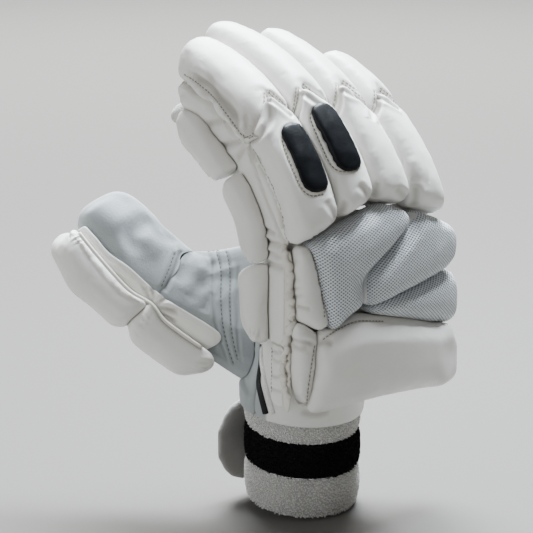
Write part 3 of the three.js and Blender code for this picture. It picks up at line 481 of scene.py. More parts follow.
# Folds that the photograph shows: the pieces, the width and depth in mm, the line in pixels of the
# photograph, and what is out of the ordinary. The hems round the notches come first
hems = [
    ("index", [(294, 117), (281, 106), (269, 97)]),
    ("index", [(269, 97), (270, 107), (270, 118), (267, 125), (258, 137), (249, 141)]),
    ("middle", [(335, 116), (315, 101), (301, 91)]),
    ("middle", [(301, 91), (299, 108), (296, 121)]),
    ("ring", [(373, 121), (370, 108), (357, 97), (341, 88)]),
    ("ring", [(341, 88), (340, 103), (336, 117)]),
    ("little", [(401, 110), (388, 101), (378, 95)]),
    ("little", [(378, 95), (379, 104), (373, 121)]),
]
folds = [(f"lower_roll_{finger}", 1.8, 1.3, line, {"ends": 0.03}) for finger, line in hems]
folds += [(f"upper_roll_{finger}", 1.5, -0.55, line, {"ends": 0.03}) for finger, line in hems]
folds += [
    ("thumb_sleeve", 3.8, 2.1, [(150, 217), (140, 226), (131, 234), (133, 244), (138, 252)]),
    ("thumb_sleeve", 9.0, -2.2, [(96, 204), (110, 218), (124, 226)]),
    ("thumb_sleeve", 6.0, -1.2, [(142, 236), (150, 246), (160, 256)]),
    ("thumb_sleeve", 3.4, 1.2, [(158, 219), (168, 231), (176, 244)]),
    ("thumb_sleeve", 3.6, 0.7, [(152, 222), (158, 233), (172, 243)]),
    ("thumb_sleeve thumb_gusset", 1.3, 1.1, [(181, 250), (174, 270), (164, 291)],
     {"shadeAmount": 1.0, "ends": 0.04}),
    ("thumb_gusset", 3.8, 0.6, [(190, 252), (183, 268), (176, 281)]),
    ("thumb_gusset", 3.8, 0.7, [(212, 274), (200, 288), (188, 300)]),
    ("thumb_gusset", 4.6, -0.9, [(190, 256), (200, 268), (208, 270)]),
    ("thumb_gusset", 2.8, 0.6, [(212, 292), (206, 304), (202, 312)]),
    ("thumb_back", 1.2, 1.4, [(150, 305), (147, 293), (144, 284)]),
    ("thumb_back", 1.2, 1.4, [(152, 305), (153, 294), (152, 285)]),
    ("thumb_back", 1.3, 1.5, [(154, 306), (162, 300), (170, 297)]),
    ("thumb_back", 1.4, 1.5, [(156, 308), (168, 309), (178, 311)]),
    ("thumb_back", 1.3, 1.2, [(157, 311), (168, 317), (176, 322)]),
    ("index_side_wall", 1.5, 1.5, [(257, 227), (266, 230), (277, 235)]),
    ("index_side_wall", 1.8, 1.9, [(262, 240), (272, 243), (286, 247)]),
    ("index_side_wall", 1.4, 1.2, [(265, 251), (277, 256), (288, 258)]),
    ("index_side_wall", 1.9, 1.9, [(266, 262), (276, 267), (288, 269)]),
    ("wrist_side_strip index_side_wall", 1.1, 1.2, [(271, 349), (277, 352), (284, 351)]),
    ("wrist_side_strip", 1.1, 1.0, [(271, 358), (277, 362), (284, 360)]),
    ("wrist_side_strip", 1.1, 1.2, [(270, 375), (277, 377), (284, 374)]),
    ("wrist_side_strip", 1.1, 1.0, [(270, 388), (277, 391), (283, 392)]),
    ("upper_roll_index", 1.9, 0.9, [(244, 138), (252, 128), (258, 116)]),
    ("upper_roll_index", 1.7, 0.8, [(244, 138), (246, 125), (245, 112)]),
    ("upper_roll_index", 1.8, 0.9, [(243, 138), (236, 126), (230, 116)]),
    ("upper_roll_index", 1.3, 0.7, [(243, 138), (259, 133), (267, 124)]),
    ("upper_roll_index", 5.0, 0.7, [(214, 78), (207, 88), (204, 98)]),
    ("lower_roll_index", 2.0, 0.7, [(246, 147), (252, 156), (262, 160)]),
    ("lower_roll_index", 2.2, 0.8, [(337, 219), (331, 208), (326, 200)]),
    ("lower_roll_middle", 2.2, 0.8, [(338, 218), (343, 209), (346, 199)]),
    ("lower_roll_middle", 2.0, 0.8, [(370, 198), (364, 190), (358, 184)]),
    ("lower_roll_ring", 2.2, 0.8, [(373, 198), (376, 189), (377, 180)]),
    ("lower_roll_ring", 2.4, 0.8, [(411, 207), (404, 197), (396, 188)]),
    ("lower_roll_little", 2.4, 0.8, [(413, 207), (416, 196), (415, 184)]),
    ("lower_roll_little", 4.5, 0.4, [(430, 184), (420, 181), (408, 180)]),
    ("knuckle_panel_side", 1.2, 0.9, [(296, 306), (303, 308), (311, 309)]),
    ("wrist_bar_end", 1.3, 1.0, [(289, 338), (298, 341), (306, 342), (315, 344)]),
    ("wrist_bar_end", 1.8, 0.7, [(292, 345), (300, 349), (308, 347)]),
    ("wrist_bar", 2.0, 0.6, [(316, 345), (326, 342), (334, 344)]),
    ("upper_roll_index", 3.4, 3.4, [(187, 74), (200, 83), (216, 97), (229, 111), (239, 127)],
     {"shadeAmount": 1.0, "ridge": 0.1}),
    ("index_side_wall", 3.2, -1.2, [(180, 74), (192, 90), (210, 107), (228, 125), (240, 138)]),
    ("lower_roll_index index_side_wall", 1.4, 1.0,
     [(248, 148), (257, 176), (267, 204), (280, 234), (288, 248)], {"ends": 0.04}),
    ("index_side_wall", 2.0, 1.9, [(243, 141), (234, 143), (221, 147)]),
    ("index_side_wall", 2.0, 1.2, [(245, 143), (242, 151), (236, 160)]),
    ("index_side_wall", 2.4, 1.2, [(207, 126), (214, 122), (222, 121)]),
    ("thumb_gusset palm_edge_strip palm", 1.0, 0.9,
     [(205, 247), (212, 262), (212, 290), (214, 318), (220, 342), (229, 366)], {"shadeAmount": 0.9}),
    ("thumb_gusset palm_edge_strip palm", 1.0, 0.7, [(238, 262), (237, 300), (238, 340), (241, 365)],
     {"shadeAmount": 0.8}),
    ("hand_back", 2.2, 0.5, [(300, 412), (314, 415), (330, 412)]),
    ("palm", 2.0, 0.6, [(241, 374), (246, 388), (252, 398)]),
]
# folds darken their hollows as painted shade, by the amount given
for names, wide, deep, pixels, *special in folds:
    line, facing = surfaceLine(pixels, names.split())
    for name in names.split():
        sculpt(made[name], line, facing, wide * mm, deep * mm, **(special[0] if special else {}))
for name, rounds in {"thumb_sleeve": 12, "thumb_gusset": 10}.items():  # suede folds softly
    smooth(made[name], rounds)

# Gathers, small puckers across a sewn line: the piece, their pitch, width and depth in mm, the line
gathers = [
    ("upper_roll_index", 6.5, 4.0, 0.35, [(242, 138), (226, 112), (206, 90), (184, 76)]),
    ("lower_roll_index", 7.5, 3.0, 0.25, [(250, 150), (262, 190), (278, 228), (289, 248)]),
    ("lower_roll_index", 6.0, 3.4, 0.3, [(290, 247), (310, 240), (336, 222)]),
    ("thumb_roll_upper", 3.4, 4.5, 0.75, [(68, 236), (74, 233), (82, 243)]),
    ("thumb_roll_upper", 3.8, 3.0, 0.45, [(130, 326), (140, 318), (150, 308)]),
    ("thumb_roll_lower", 4.0, 3.0, 0.45, [(135, 334), (143, 322), (151, 313)]),
    ("thumb_roll_lower", 3.4, 4.0, 0.5, [(204, 353), (204, 364), (201, 374)]),
    ("index_guard_upper", 3.6, 2.4, 0.35, [(222, 181), (212, 180), (205, 176)]),
    ("index_guard_middle", 3.6, 2.6, 0.4, [(254, 264), (247, 264), (240, 259)]),
    ("index_guard_lower", 3.6, 2.6, 0.4, [(270, 335), (258, 335), (248, 331)]),
    ("wrist_bar_end", 6.0, 4.0, 0.3, [(290, 346), (288, 366), (290, 392)]),
    ("knuckle_panel_side", 6.5, 4.0, 0.3, [(294, 258), (294, 280), (299, 302)]),
    ("edge_binding", 5.2, 4.0, 0.9,
     [(288, 245), (291, 280), (292, 310), (289, 345), (287, 370), (288, 399)]),
]
# the gathers' hollows are darkened a little as painted shade
for name, pitch, wide, deep, pixels in gathers:
    line, facing = surfaceLine(pixels, [name])
    sculpt(made[name], line, facing, wide * mm, deep * mm, pitch=pitch * mm, shadeAmount=0.35)
trees = {name: tree(piece) for name, piece in made.items()}

# Borders of the embossed panels that have no dots: the panel, the line, the width in mm
plainBands = [
    ("knuckle_panel_middle", [(411, 215), (400, 226), (382, 247), (366, 267), (362, 280), (362, 303)], 3.0),
    ("knuckle_panel_lower", [(372, 314), (395, 319), (420, 322), (447, 325)], 2.6),
]
for name, band, wide in plainBands:
    line, _ = surfaceLine(band, [name])
    points, near, gaps, _ = nearLine(made[name], line, 2 * wide * mm)
    amount = np.zeros(len(points))
    amount[near] = np.clip(3 * (1 - gaps / (wide * mm)) + 0.5, 0, 1)
    paint(made[name], "plain", amount)


def pixelsOf(points):
    turned = (points - np.array(eye.matrix_world.translation)) @ np.array(eye.matrix_world.to_3x3())
    half = camera["pixels"] / 2
    scale = -camera["lens"] / camera["sensor"] * camera["pixels"] / turned[:, 2]
    return half + turned[:, 0] * scale, half - turned[:, 1] * scale


# The grey palm leather wraps round to the elastic slit, on the thumb's half and below a row of pixels
slit = [(252, 343), (255, 362), (259, 385), (266, 414)]
greyFrom = 335
points = places(made["hand_back"].data)
across, down = pixelsOf(points)
edge = np.interp(down, [y for _, y in slit], [x for x, _ in slit])
wrapped = np.clip((edge - across) / 2 + 0.5, 0, 1) * (down > greyFrom) * (points[:, 0] < 0)
paint(made["hand_back"], "grey", wrapped)


def paintSeamShade(span):  # painted shade: the leather is darkened where it runs close to another piece
    for name, piece in made.items():
        points = places(piece.data)
        mark = np.zeros(len(points))
        for other in made:
            if other != name:
                for i in np.where(within(points, places(made[other].data), span))[0]:
                    place, _, _, away = trees[other].find_nearest(Vector(points[i]), span)
                    if place is not None:
                        mark[i] = max(mark[i], (1 - away / span) ** 1.5)
        paint(piece, "paintedShade", mark)


paintSeamShade(1.6 * mm)
print("folds and gathers sculpted")


# Materials
class Wire:  # a node's output that takes part in sums
    def __init__(self, finish, socket):
        self.finish, self.socket = finish, socket

    def __add__(self, other):
        return self.finish.maths("ADD", self, other)

    __radd__ = __add__

    def __mul__(self, other):
        return self.finish.maths("MULTIPLY", self, other)

    __rmul__ = __mul__

    def __rsub__(self, other):
        return self.finish.maths("SUBTRACT", other, self)


class Finish:
    def __init__(self, name, **fixed):
        self.material = bpy.data.materials.new(name)
        self.material.use_nodes = True
        self.tree = self.material.node_tree
        self.shader = self.tree.nodes["Principled BSDF"]
        for key, value in fixed.items():
            self.shader.inputs[key].default_value = value

    def node(self, kind, settings=None, inputs=None, output=0):
        added = self.tree.nodes.new(kind)
        for key, value in (settings or {}).items():
            setattr(added, key, value)
        for key, value in (inputs or {}).items():
            self.join(value, added.inputs[key])
        return Wire(self, added.outputs[output])

    def join(self, value, socket):
        if isinstance(value, Wire):
            self.tree.links.new(value.socket, socket)
        else:
            socket.default_value = value

    def maths(self, operation, a, b):
        return self.node("ShaderNodeMath", {"operation": operation}, {0: a, 1: b})

    def place(self):
        return self.node("ShaderNodeTexCoord", output="Object")

    def grain(self, scale, detail, rough=0.55):
        return self.node("ShaderNodeTexNoise", {}, {
            "Vector": self.place(), "Scale": scale, "Detail": detail, "Roughness": rough})

    def cells(self, scale):
        return self.node("ShaderNodeTexVoronoi", {}, {"Vector": self.place(), "Scale": scale})

    def spread(self, value, low, high, toLow=0.0, toHigh=1.0):
        return self.node("ShaderNodeMapRange", {}, {
            "Value": value, "From Min": low, "From Max": high, "To Min": toLow, "To Max": toHigh})

    def tint(self, share, a, b):  # sockets 6 and 7 are the node's two colours, and output 2 their mix
        a, b = (tone if isinstance(tone, Wire) else (*tone, 1) for tone in (a, b))
        return self.node("ShaderNodeMix", {"data_type": "RGBA"}, {0: share, 6: a, 7: b}, output=2)

    def layer(self, name):
        return self.node("ShaderNodeAttribute", {"attribute_name": name}, output="Fac")

    def bump(self, height, distance, strength):
        return self.node("ShaderNodeBump", {}, {
            "Height": height, "Distance": distance, "Strength": strength})

    def show(self, **looks):
        for key, value in looks.items():
            self.join(value, self.shader.inputs[key.replace("_", " ")])
        return self.material


def scaled(tone, red, green=None, blue=None):  # a tone made darker or lighter
    return tone[0] * red, tone[1] * (green or red), tone[2] * (blue or red)


def leather(name, tone, shade, rough):
    finish = Finish(name, **{"Specular IOR Level": 0.42})
    mottle = finish.spread(finish.grain(55, 4), 0.3, 0.7)
    pores = finish.spread(finish.cells(1500), 0.0, 0.75)
    creases = finish.spread(finish.grain(260, 5, 0.6), 0.35, 0.65)
    colour = finish.tint(mottle * 0.5, tone, shade)
    colour = finish.tint(finish.layer("grey"), colour, (0.35, 0.375, 0.38))
    # painted shade: creases, seam grooves and places close to other pieces are darkened toward a brownish
    # shade
    colour = finish.tint(finish.layer("paintedShade") * 0.8, colour, scaled(shade, 0.4, 0.37, 0.32))
    return finish.show(
        Base_Color=colour,
        Roughness=finish.spread(mottle + creases * 0.5, 0, 1.5, rough - 0.05, rough + 0.1),
        Normal=finish.bump(pores * 0.45 + creases * 0.55, 0.05 * mm, 0.8))


def dotted(name, tone, shade, pitch):  # dots in rows that are turned by half a right angle
    finish = Finish(name, **{"Specular IOR Level": 0.5})
    turned = finish.node("ShaderNodeMapping", {}, {
        "Vector": finish.node("ShaderNodeUVMap", {"uv_map": "skin"}),
        "Rotation": (0, 0, math.radians(45)), "Scale": [math.sqrt(2) / side for side in pitch] + [1]})
    hole = finish.node("ShaderNodeTexVoronoi", {"voronoi_dimensions": "2D"}, {
        "Vector": turned, "Scale": 1, "Randomness": 0})
    plain = finish.layer("plain")
    inside = finish.spread(hole, 0.2, 0.46, 1.0, 0.0) * (1 - plain)
    mottle = finish.spread(finish.grain(60, 4), 0.3, 0.7)
    colour = finish.tint(mottle * 0.4, tone, shade)
    colour = finish.tint(plain, colour, (0.76, 0.76, 0.75))
    # painted shade: the dimples are darkened
    colour = finish.tint(inside * 0.95, colour, scaled(shade, 0.22))
    height = (1 - inside) * 0.9 + finish.spread(finish.grain(900, 2), 0.3, 0.7) * 0.1
    return finish.show(
        Base_Color=colour, Roughness=finish.spread(mottle, 0, 1, 0.36, 0.46),
        Normal=finish.bump(height, 0.35 * mm, 1.0))


def suede(name, tone, shade):
    finish = Finish(name, **{"Specular IOR Level": 0.2, "Sheen Weight": 0.25, "Sheen Roughness": 0.6})
    broad = finish.spread(finish.grain(38, 4), 0.32, 0.68)
    nap = finish.spread(finish.grain(700, 4, 0.7), 0.3, 0.7)
    colour = finish.tint(broad * 0.6 + nap * 0.25, tone, shade)
    # painted shade: creases and seams are darkened
    colour = finish.tint(finish.layer("paintedShade") * 0.5, colour, scaled(shade, 0.55))
    return finish.show(
        Base_Color=colour, Roughness=finish.spread(nap, 0, 1, 0.72, 0.9),
        Normal=finish.bump(nap + broad * 0.4, 0.12 * mm, 0.8))


def smoothBlack(name, tone):
    finish = Finish(name, **{"Specular IOR Level": 0.12})
    mottle = finish.spread(finish.grain(120, 4), 0.3, 0.7)
    return finish.show(
        Base_Color=finish.tint(mottle, tone, scaled(tone, 1.9)),
        Roughness=finish.spread(mottle, 0, 1, 0.3, 0.42),
        Normal=finish.bump(finish.spread(finish.cells(1200), 0, 0.8), 0.04 * mm, 0.7))


def towelling(name, tone, shade):
    sheen = 0.25 * tone[0]
    finish = Finish(name, **{"Specular IOR Level": 0.04, "Sheen Weight": sheen, "Sheen Roughness": 0.5})
    loops = finish.spread(finish.cells(900), 0.1, 0.8)
    broad = finish.spread(finish.grain(70, 4), 0.3, 0.7)
    # for the white towelling the low parts between the bumped loops take the darker colour, painted shade
    # between the loops; a random broad tone is mixed in
    colour = finish.tint(loops * 0.55 + broad * 0.35, tone, shade)
    return finish.show(
        Base_Color=colour, Roughness=finish.spread(loops, 0, 1, 0.85, 1.0),
        Normal=finish.bump(1 - loops, 0.5 * mm, 0.9))


def brushed(name, tone, shade):
    finish = Finish(name, **{"Specular IOR Level": 0.15, "Sheen Weight": 0.4, "Sheen Roughness": 0.5})
    fuzz = finish.spread(finish.grain(1300, 3, 0.7), 0.3, 0.7)
    broad = finish.spread(finish.grain(60, 4), 0.3, 0.7)
    return finish.show(
        Base_Color=finish.tint(fuzz * 0.4 + broad * 0.6, tone, shade),
        Roughness=finish.spread(fuzz, 0, 1, 0.85, 1.0), Normal=finish.bump(fuzz, 0.35 * mm, 0.9))


def ribbed(name, tone):
    finish = Finish(name, **{"Specular IOR Level": 0.3})
    ribs = finish.node("ShaderNodeTexWave", {"bands_direction": "Z"}, {
        "Vector": finish.place(), "Scale": 420, "Distortion": 0.6, "Detail": 1})
    return finish.show(
        Base_Color=finish.tint(ribs, tone, scaled(tone, 2.6)),
        Roughness=finish.spread(ribs, 0, 1, 0.6, 0.85), Normal=finish.bump(ribs, 0.2 * mm, 0.8))


def twisted(name, tone, shade):
    finish = Finish(name, **{"Specular IOR Level": 0.3})
    strands = finish.spread(finish.grain(1600, 2), 0.3, 0.7)
    return finish.show(
        Base_Color=finish.tint(strands, tone, shade), Roughness=finish.spread(strands, 0, 1, 0.6, 0.8),
        Normal=finish.bump(strands, 0.1 * mm, 0.7))


finishes = {
    "white": leather("whiteLeather", (0.80, 0.79, 0.76), (0.72, 0.70, 0.66), 0.4),
    "silver": dotted("silverDots", (0.72, 0.75, 0.79), (0.64, 0.675, 0.715), (2.6 * mm, 1.95 * mm)),
    "grey": suede("greySuede", (0.36, 0.39, 0.40), (0.28, 0.305, 0.315)),
    "insert": smoothBlack("blackInsert", (0.004, 0.0045, 0.0055)),
    "towel": towelling("whiteTowelling", (0.88, 0.87, 0.85), (0.68, 0.67, 0.65)),
    # the cuff's ground between the tufts is a darker copy of the white towelling: painted shade between the
    # loops
    "shadedTowelGround": towelling("shadedTowellingGround", (0.60, 0.59, 0.57), (0.42, 0.41, 0.39)),
    "blackTowel": towelling("blackTowelling", (0.004, 0.004, 0.004), (0.012, 0.012, 0.012)),
    "knit": brushed("knitLining", (0.70, 0.69, 0.67), (0.56, 0.55, 0.53)),
    "strap": brushed("strapCloth", (0.44, 0.43, 0.415), (0.33, 0.32, 0.31)),
    "tape": ribbed("elasticTape", (0.006, 0.006, 0.007)),
    "thread": twisted("paleThread", (0.34, 0.31, 0.25), (0.24, 0.21, 0.17)),
    "greyThread": twisted("greyThread", (0.14, 0.15, 0.16), (0.09, 0.10, 0.11)),
    "binding": leather("bindingLeather", (0.74, 0.72, 0.66), (0.62, 0.59, 0.51), 0.45),
}
slots = {
    "white": "white_leather", "thread": "white_leather", "binding": "white_leather",
    "grey": "grey_leather", "greyThread": "grey_leather", "silver": "embossed_leather",
    "insert": "black_insert", "strap": "strap", "tape": "elastic_tape",
    "towel": "towelling", "shadedTowelGround": "towelling", "knit": "towelling", "blackTowel": "black_towelling",
}
worn = {
    "silver": ["knuckle_panel_upper", "knuckle_panel_middle", "knuckle_panel_lower"],
    "grey": ["thumb_sleeve", "thumb_gusset", "palm", "palm_edge_strip"],
    "insert": ["oval_insert_index", "oval_insert_middle"],
    "shadedTowelGround": ["cuff_lower", "cuff_upper"],
    "blackTowel": ["cuff_stripe"],
    "strap": ["wrist_strap"],
    "binding": ["edge_binding", "thumb_piping"],
}


def finishOf(name):
    return next((key for key, names in worn.items() if name in names), "white")


# The dotted leather's own map: the panel's face unrolled flat, round its swelling edges too
edgeTurn = {"within": 5 * mm, "share": 0.57, "front": -0.8}


def bowl(a, b):  # the terms of a gently curved surface
    return np.stack([np.ones_like(a), a, b, a * a, a * b, b * b], axis=1)


def unroll(piece):
    mesh = piece.data
    points, facing = places(mesh), facings(mesh)
    x, y, z = points.T
    face = facing[:, 1] < edgeTurn["front"]
    curve, *_ = np.linalg.lstsq(bowl(x[face], z[face]), y[face], rcond=None)
    depth = np.clip(y - bowl(x, z) @ curve, 0, None)
    turned = edgeTurn["share"] * np.minimum(depth, edgeTurn["within"])
    extra = turned + np.maximum(depth - edgeTurn["within"], 0)
    side = facing[:, [0, 2]] / np.maximum(np.linalg.norm(facing[:, [0, 2]], axis=1, keepdims=True), tiny)
    flat = points[:, [0, 2]] + side * extra[:, None]
    layer = mesh.uv_layers.new(name="skin")
    corners = np.empty(len(mesh.loops), int)
    mesh.loops.foreach_get("vertex_index", corners)
    layer.data.foreach_set("uv", flat[corners].ravel())


for name in worn["silver"]:
    unroll(made[name])
for name, piece in made.items():
    wear(piece, finishes[finishOf(name)], slots[finishOf(name)])
print("materials made")


# Things that repeat: modelled once, each copy placed by its own matrix
def copyMany(name, model, matrices):
    base = np.c_[places(model.data), np.ones(len(model.data.vertices))]
    corners = [tuple(face.vertices) for face in model.data.polygons]
    count = len(base)
    points = np.concatenate([(base @ np.array(m).T)[:, :3] for m in matrices])
    faces = [tuple(v + i * count for v in face) for i in range(len(matrices)) for face in corners]
    return newPiece(name, points, faces)


def makeStitch():  # one stitch, 1 long, 1 wide and 1 high
    bpy.ops.mesh.primitive_cylinder_add(vertices=6, radius=0.5, depth=0.5, rotation=(0, math.pi / 2, 0))
    model = bpy.context.object
    bpy.ops.object.transform_apply(location=True, rotation=True, scale=True)
    bpy.ops.object.mode_set(mode="EDIT")
    for side in (-1, 1):
        bpy.ops.mesh.select_all(action="DESELECT")
        bpy.ops.object.mode_set(mode="OBJECT")
        for face in model.data.polygons:
            face.select = face.normal.x * side > 0.9
        bpy.ops.object.mode_set(mode="EDIT")
        bpy.ops.mesh.extrude_region_move(TRANSFORM_OT_translate={"value": (0.25 * side, 0, -0.12)})
        bpy.ops.transform.resize(value=(1, 0.35, 0.35))
    bpy.ops.object.mode_set(mode="OBJECT")
    return model


stitchModel = makeStitch()


def stitchPlaces(line, facing, pitch, length, thick, lift):
    run = alongLine(line)

    def at(along, rows):
        return np.array([np.interp(along, run, rows[:, i]) for i in range(3)])

    found = []
    for here in np.arange(pitch / 2, run[-1], pitch):
        way = Vector(at(min(here + pitch / 2, run[-1]), line) - at(here - pitch / 2, line)).normalized()
        side = Vector(at(here, facing)).normalized().cross(way).normalized()
        out = way.cross(side).normalized()
        turned = Matrix((way * length, side * thick, out * thick)).transposed().to_4x4()
        found.append(Matrix.Translation(Vector(at(here, line)) + out * lift) @ turned)
    return found


seam = {"groove": 0.5 * mm, "wide": 0.9 * mm, "sunk": 0.25 * mm}


def sew(name, rows, finish, pitch, length, thick):
    found = []
    for names, pixels in rows:
        line, facing = surfaceLine(pixels, names.split(), softness=3)
        # each seam's groove is pressed in and darkened as painted shade
        for part in names.split():
            sculpt(made[part], line, facing, seam["wide"], seam["groove"], ridge=0.2, ends=0.02, shadeAmount=0.5)
        found += stitchPlaces(line, facing, pitch * mm, length * mm, thick * mm, -seam["sunk"])
    piece = copyMany(name, stitchModel, found)
    wear(piece, finishes[finish], slots[finish])


# The double stitched notch of each upper roll: its left side with its point, and its right side
notches = [
    ("index", [(248, 139), (256, 134), (263, 126), (267, 117), (267, 105), (267, 93)],
     [(268, 92), (279, 102), (293, 114)]),
    ("middle", [(294, 118), (297, 103), (299, 87)], [(301, 86), (314, 97), (333, 113)]),
    ("ring", [(334, 114), (338, 98), (339, 83)], [(341, 82), (355, 92), (368, 104), (370, 119)]),
    ("little", [(372, 119), (377, 103), (377, 90)], [(379, 90), (388, 97), (399, 107)]),
]
paleSeams = []
for finger, left, right in notches:
    for inward in (0, 2.6):
        paleSeams.append((f"upper_roll_{finger}", [(x - inward, y - inward * 0.3) for x, y in left]))
        paleSeams.append((f"upper_roll_{finger}", [(x + inward * 0.4, y - inward) for x, y in right]))
paleSeams += [
    ("index_side_wall upper_roll_index", [(240, 139), (248, 137)]),
    ("index_side_wall upper_roll_index", [(243, 134), (245, 144)]),
    ("upper_roll_index", [(242, 136), (230, 119), (214, 98), (197, 83), (183, 74)]),
    ("lower_roll_index", [(249, 150), (257, 176), (267, 202), (280, 233), (288, 247)]),
    ("lower_roll_index",
     [(295, 125), (286, 127), (282, 138), (287, 155), (294, 172), (302, 189), (312, 196), (324, 194)]),
    ("lower_roll_middle",
     [(322, 106), (313, 109), (310, 118), (316, 134), (323, 150), (330, 164), (339, 171), (352, 171),
      (359, 167)]),
    ("knuckle_panel_side", [(309, 246), (316, 266), (322, 290), (325, 318)]),
    ("wrist_bar_end wrist_bar", [(315, 345), (312, 364), (309, 385), (306, 409)]),
    ("wrist_bar", [(322, 340), (340, 328), (358, 321), (384, 321)]),
    ("wrist_side_strip index_side_wall", [(268, 345), (268, 366), (270, 392)]),
]
greySeams = [
    ("thumb_sleeve", [(175, 252), (169, 269), (161, 288)]),
    ("thumb_gusset palm_edge_strip palm",
     [(216, 250), (221, 270), (221, 300), (223, 325), (228, 348), (234, 366)]),
    ("thumb_gusset palm_edge_strip palm",
     [(226, 250), (230, 270), (230, 300), (231, 325), (234, 345), (238, 360)]),
    ("thumb_gusset", [(206, 244), (214, 246), (222, 249)]),
]
sew("stitches_pale", paleSeams, "thread", pitch=2.3, length=1.7, thick=0.7)
sew("stitches_grey", greySeams, "greyThread", pitch=2.6, length=1.5, thick=0.5)
print("seams sewn")


# A tape's cross section, rounded over: shares of its width and its height
section = [(-0.5, -0.2), (-0.42, 0.75), (0, 1), (0.42, 0.75), (0.5, -0.2), (0, -0.8)]


def ribbon(name, pixels, wide, tall, finish):
    line, facing = surfaceLine(pixels, ["hand_back"], softness=14)
    side = np.cross(facing, np.gradient(line, axis=0))
    side /= np.linalg.norm(side, axis=1, keepdims=True)
    points = np.stack([line + side * (a * wide) + facing * (b * tall) for a, b in section], axis=1)
    count, last = len(section), len(line) - 1
    faces = []
    for i in range(last):
        for k in range(count):
            j = (k + 1) % count
            faces.append((i * count + k, i * count + j, (i + 1) * count + j, (i + 1) * count + k))
    faces += [tuple(range(count))[::-1], tuple(last * count + k for k in range(count))]
    piece = newPiece(name, points.reshape(-1, 3), faces)
    subdivide(piece, 1)
    wear(piece, finishes[finish], slots[finish])
    return piece


tape = ribbon("wrist_tape_soft", slit, 4.4 * mm, 1.6 * mm, "tape")
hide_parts("wrist_tape")
ribbon("slit_binding", [(x + 7, y) for x, y in slit], 3.6 * mm, 1.6 * mm, "towel")

# The bunched leather cord beside the guards: overlapping puckers melted together
cord = {
    "line": [(285, 246), (287, 256), (290, 270), (290, 290), (291, 304), (292, 318), (289, 334),
             (287, 350), (285, 366), (286, 384), (289, 399)],
    "pitch": 2.6 * mm, "long": 5.6 * mm, "wide": 3.9 * mm, "tall": 3.6 * mm,
    "voxel": 0.45 * mm, "proud": 1.1 * mm, "lean": (15, 60), "sizes": (0.8, 1.2),
}
bpy.ops.mesh.primitive_ico_sphere_add(subdivisions=3, radius=0.5)
puckerModel = bpy.context.object
line, facing = surfaceLine(cord["line"], ["edge_binding", "index_side_wall", "hand_back"])
chance = np.random.default_rng(11)
found = []
for turn, pucker in enumerate(stitchPlaces(line, facing, cord["pitch"], 1, 1, cord["proud"])):
    shape = Matrix.Diagonal((cord["long"], cord["wide"], cord["tall"], 1)) * chance.uniform(*cord["sizes"])
    shape[3][3] = 1
    lean = math.radians((-1) ** turn * chance.uniform(*cord["lean"]))
    aside = Matrix.Translation((0, chance.normal(0, 0.35) * mm, chance.normal(0, 0.3) * mm))
    found.append(pucker @ aside @ Matrix.Rotation(lean, 4, "Z") @ shape)
bunched = copyMany("edge_cord", puckerModel, found)
remesh(bunched, cord["voxel"])
smooth(bunched, 3)
# painted shade: the sides of the puckers that turn away from the surface are darkened
turnedAwayShade = 1 - (facings(bunched.data) @ facing.mean(axis=0)).clip(0, 1)
paint(bunched, "paintedShade", 0.7 * turnedAwayShade ** 2)
wear(bunched, finishes["binding"], slots["binding"])

# The knitted tip of the index finger's lining, which shows beside the upper guard
lining = {"pixel": (177, 117), "round": 5.4 * mm, "past": 3.2 * mm}
inside, _ = onPiece(lining["pixel"], ["finger_sleeve_index"])
eyePlace, way = sightLine(lining["pixel"])
shown = eyePlace + way * ((inside - eyePlace).dot(wayToCamera()) / way.dot(wayToCamera()))
bpy.ops.mesh.primitive_ico_sphere_add(subdivisions=5, radius=1)
tip = bpy.context.object
tip.name = "index_lining_tip"
bpy.ops.object.mode_set(mode="EDIT")
half = (shown - inside).length / 2 + lining["past"]
bpy.ops.transform.resize(value=(lining["round"], lining["round"], half))
bpy.ops.object.mode_set(mode="OBJECT")
lay = (shown - inside).to_track_quat("Z", "Y").to_matrix()
move(tip.data, places(tip.data) @ np.array(lay).T + np.array((shown + inside) / 2))
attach(tip, "root")
wear(tip, finishes["knit"], slots["knit"])

# Towelling: thousands of small tufts over the cuff's bands, each set by a ray from outside to the axis
tufts = {
    "cuff_lower": {"pitch": 1.25 * mm, "size": 1.35 * mm, "finish": "towel", "loft": 0.35 * mm},
    "cuff_stripe": {"pitch": 1.3 * mm, "size": 1.25 * mm, "finish": "blackTowel", "loft": 0.45 * mm},
    "cuff_upper": {"pitch": 1.25 * mm, "size": 1.35 * mm, "finish": "towel", "loft": 0.35 * mm},
}
pile = {"radius": 33 * mm, "rows": 0.87, "outside": 60 * mm, "reach": 40 * mm, "sizes": (0.75, 1.25)}
bpy.ops.mesh.primitive_ico_sphere_add(subdivisions=1, radius=0.5)
tuftModel = bpy.context.object
bpy.ops.object.mode_set(mode="EDIT")
bpy.ops.transform.resize(value=(0.7, 0.42, 1.0))
bpy.ops.object.mode_set(mode="OBJECT")
chance = np.random.default_rng(7)


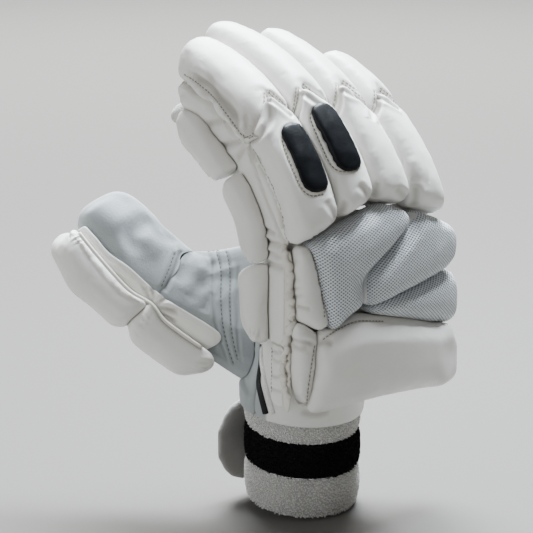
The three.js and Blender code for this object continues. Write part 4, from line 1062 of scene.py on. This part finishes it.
def growTufts(name, sizes):
    points = places(made[name].data)
    pitch = sizes["pitch"]
    heights = np.arange(points[:, 2].min() - pitch, points[:, 2].max() + pitch, pitch * pile["rows"])
    step = pitch / pile["radius"]
    found = []
    for row, height in enumerate(heights):
        for turn in np.arange(0, 2 * np.pi, step):
            angle = turn + (row % 2) * 0.5 * step + chance.normal(0, 0.2) * step
            at = Vector((math.cos(angle), math.sin(angle), 0))
            start = at * pile["outside"] + Vector((0, 0, height + chance.normal(0, 0.35) * pitch))
            place, facing, _, _ = trees[name].ray_cast(start, -at, pile["reach"])
            if place is None or facing.dot(at) < 0.2:
                continue
            size = Matrix.Scale(sizes["size"] * chance.uniform(*pile["sizes"]), 4)
            spin = Matrix.Rotation(chance.uniform(0, math.pi), 4, facing)
            lean = facing.to_track_quat("Z", "Y").to_matrix().to_4x4()
            tilt = Matrix.Rotation(chance.normal(0, 0.5), 4, "X")
            found.append(Matrix.Translation(place + facing * sizes["loft"]) @ spin @ lean @ tilt @ size)
    piece = copyMany(name + "_tufts", tuftModel, found)
    wear(piece, finishes[sizes["finish"]], slots[sizes["finish"]])
    return len(found)


for name, sizes in tufts.items():
    print(name, "has", growTufts(name, sizes), "tufts")

for model in (stitchModel, puckerModel, tuftModel):
    bpy.data.objects.remove(model)


# Studio: pale floor, a small key light from above, and a light floor behind the glove
studio = {
    "floor": 14.0, "floorTone": (0.135, 0.129, 0.121, 1), "drop": 0.6 * mm,
    "sky": 0.2, "skyTone": (1.0, 0.97, 0.93, 1),
}
lamps = {
    "key": {"type": "AREA", "place": (0.32, 0.06, 0.95), "aim": (0, 0, 0.14), "power": 37,
            "tone": (0.84, 0.93, 1.0), "spread": 0.36},
    "back": {"type": "AREA", "place": (1.4, 1.7, 1.9), "aim": (1.4, 1.7, 0), "power": 230,
             "tone": (0.95, 0.98, 1.0), "spread": 1.6},
    "fill": {"type": "AREA", "place": (-1.5, 0.0, 0.6), "aim": (0, 0, 0.14), "power": 9,
             "tone": (0.95, 0.98, 1.0), "spread": 1.0},
    "sun": {"type": "SUN", "place": (0.5, 0.95, 2.3), "aim": (0, 0, 0), "power": 9,
            "tone": (0.92, 0.97, 1.0), "spread": 0.5},
}
bpy.ops.mesh.primitive_plane_add(size=studio["floor"], location=(0, 0, cadLow[2] - studio["drop"]))
floor = bpy.context.object
floor.name = "floor"
bpy.ops.object.mode_set(mode="EDIT")
bpy.ops.mesh.subdivide(number_cuts=3)
bpy.ops.object.mode_set(mode="OBJECT")
floor.data.materials.append(Finish("paleFloor").show(Base_Color=studio["floorTone"], Roughness=0.9))
for name, lamp in lamps.items():
    bpy.ops.object.light_add(type=lamp["type"], location=lamp["place"])
    light = bpy.context.object
    light.name = name
    setattr(light.data, "size" if lamp["type"] == "AREA" else "angle", lamp["spread"])
    light.data.energy = lamp["power"]
    light.data.color = lamp["tone"]
    light.rotation_euler = (Vector(lamp["aim"]) - light.location).to_track_quat("-Z", "Y").to_euler()
bpy.context.scene.world = bpy.data.worlds.new("paleSky")
sky = bpy.context.scene.world
sky.use_nodes = True
sky.node_tree.nodes["Background"].inputs["Color"].default_value = studio["skyTone"]
sky.node_tree.nodes["Background"].inputs["Strength"].default_value = studio["sky"]
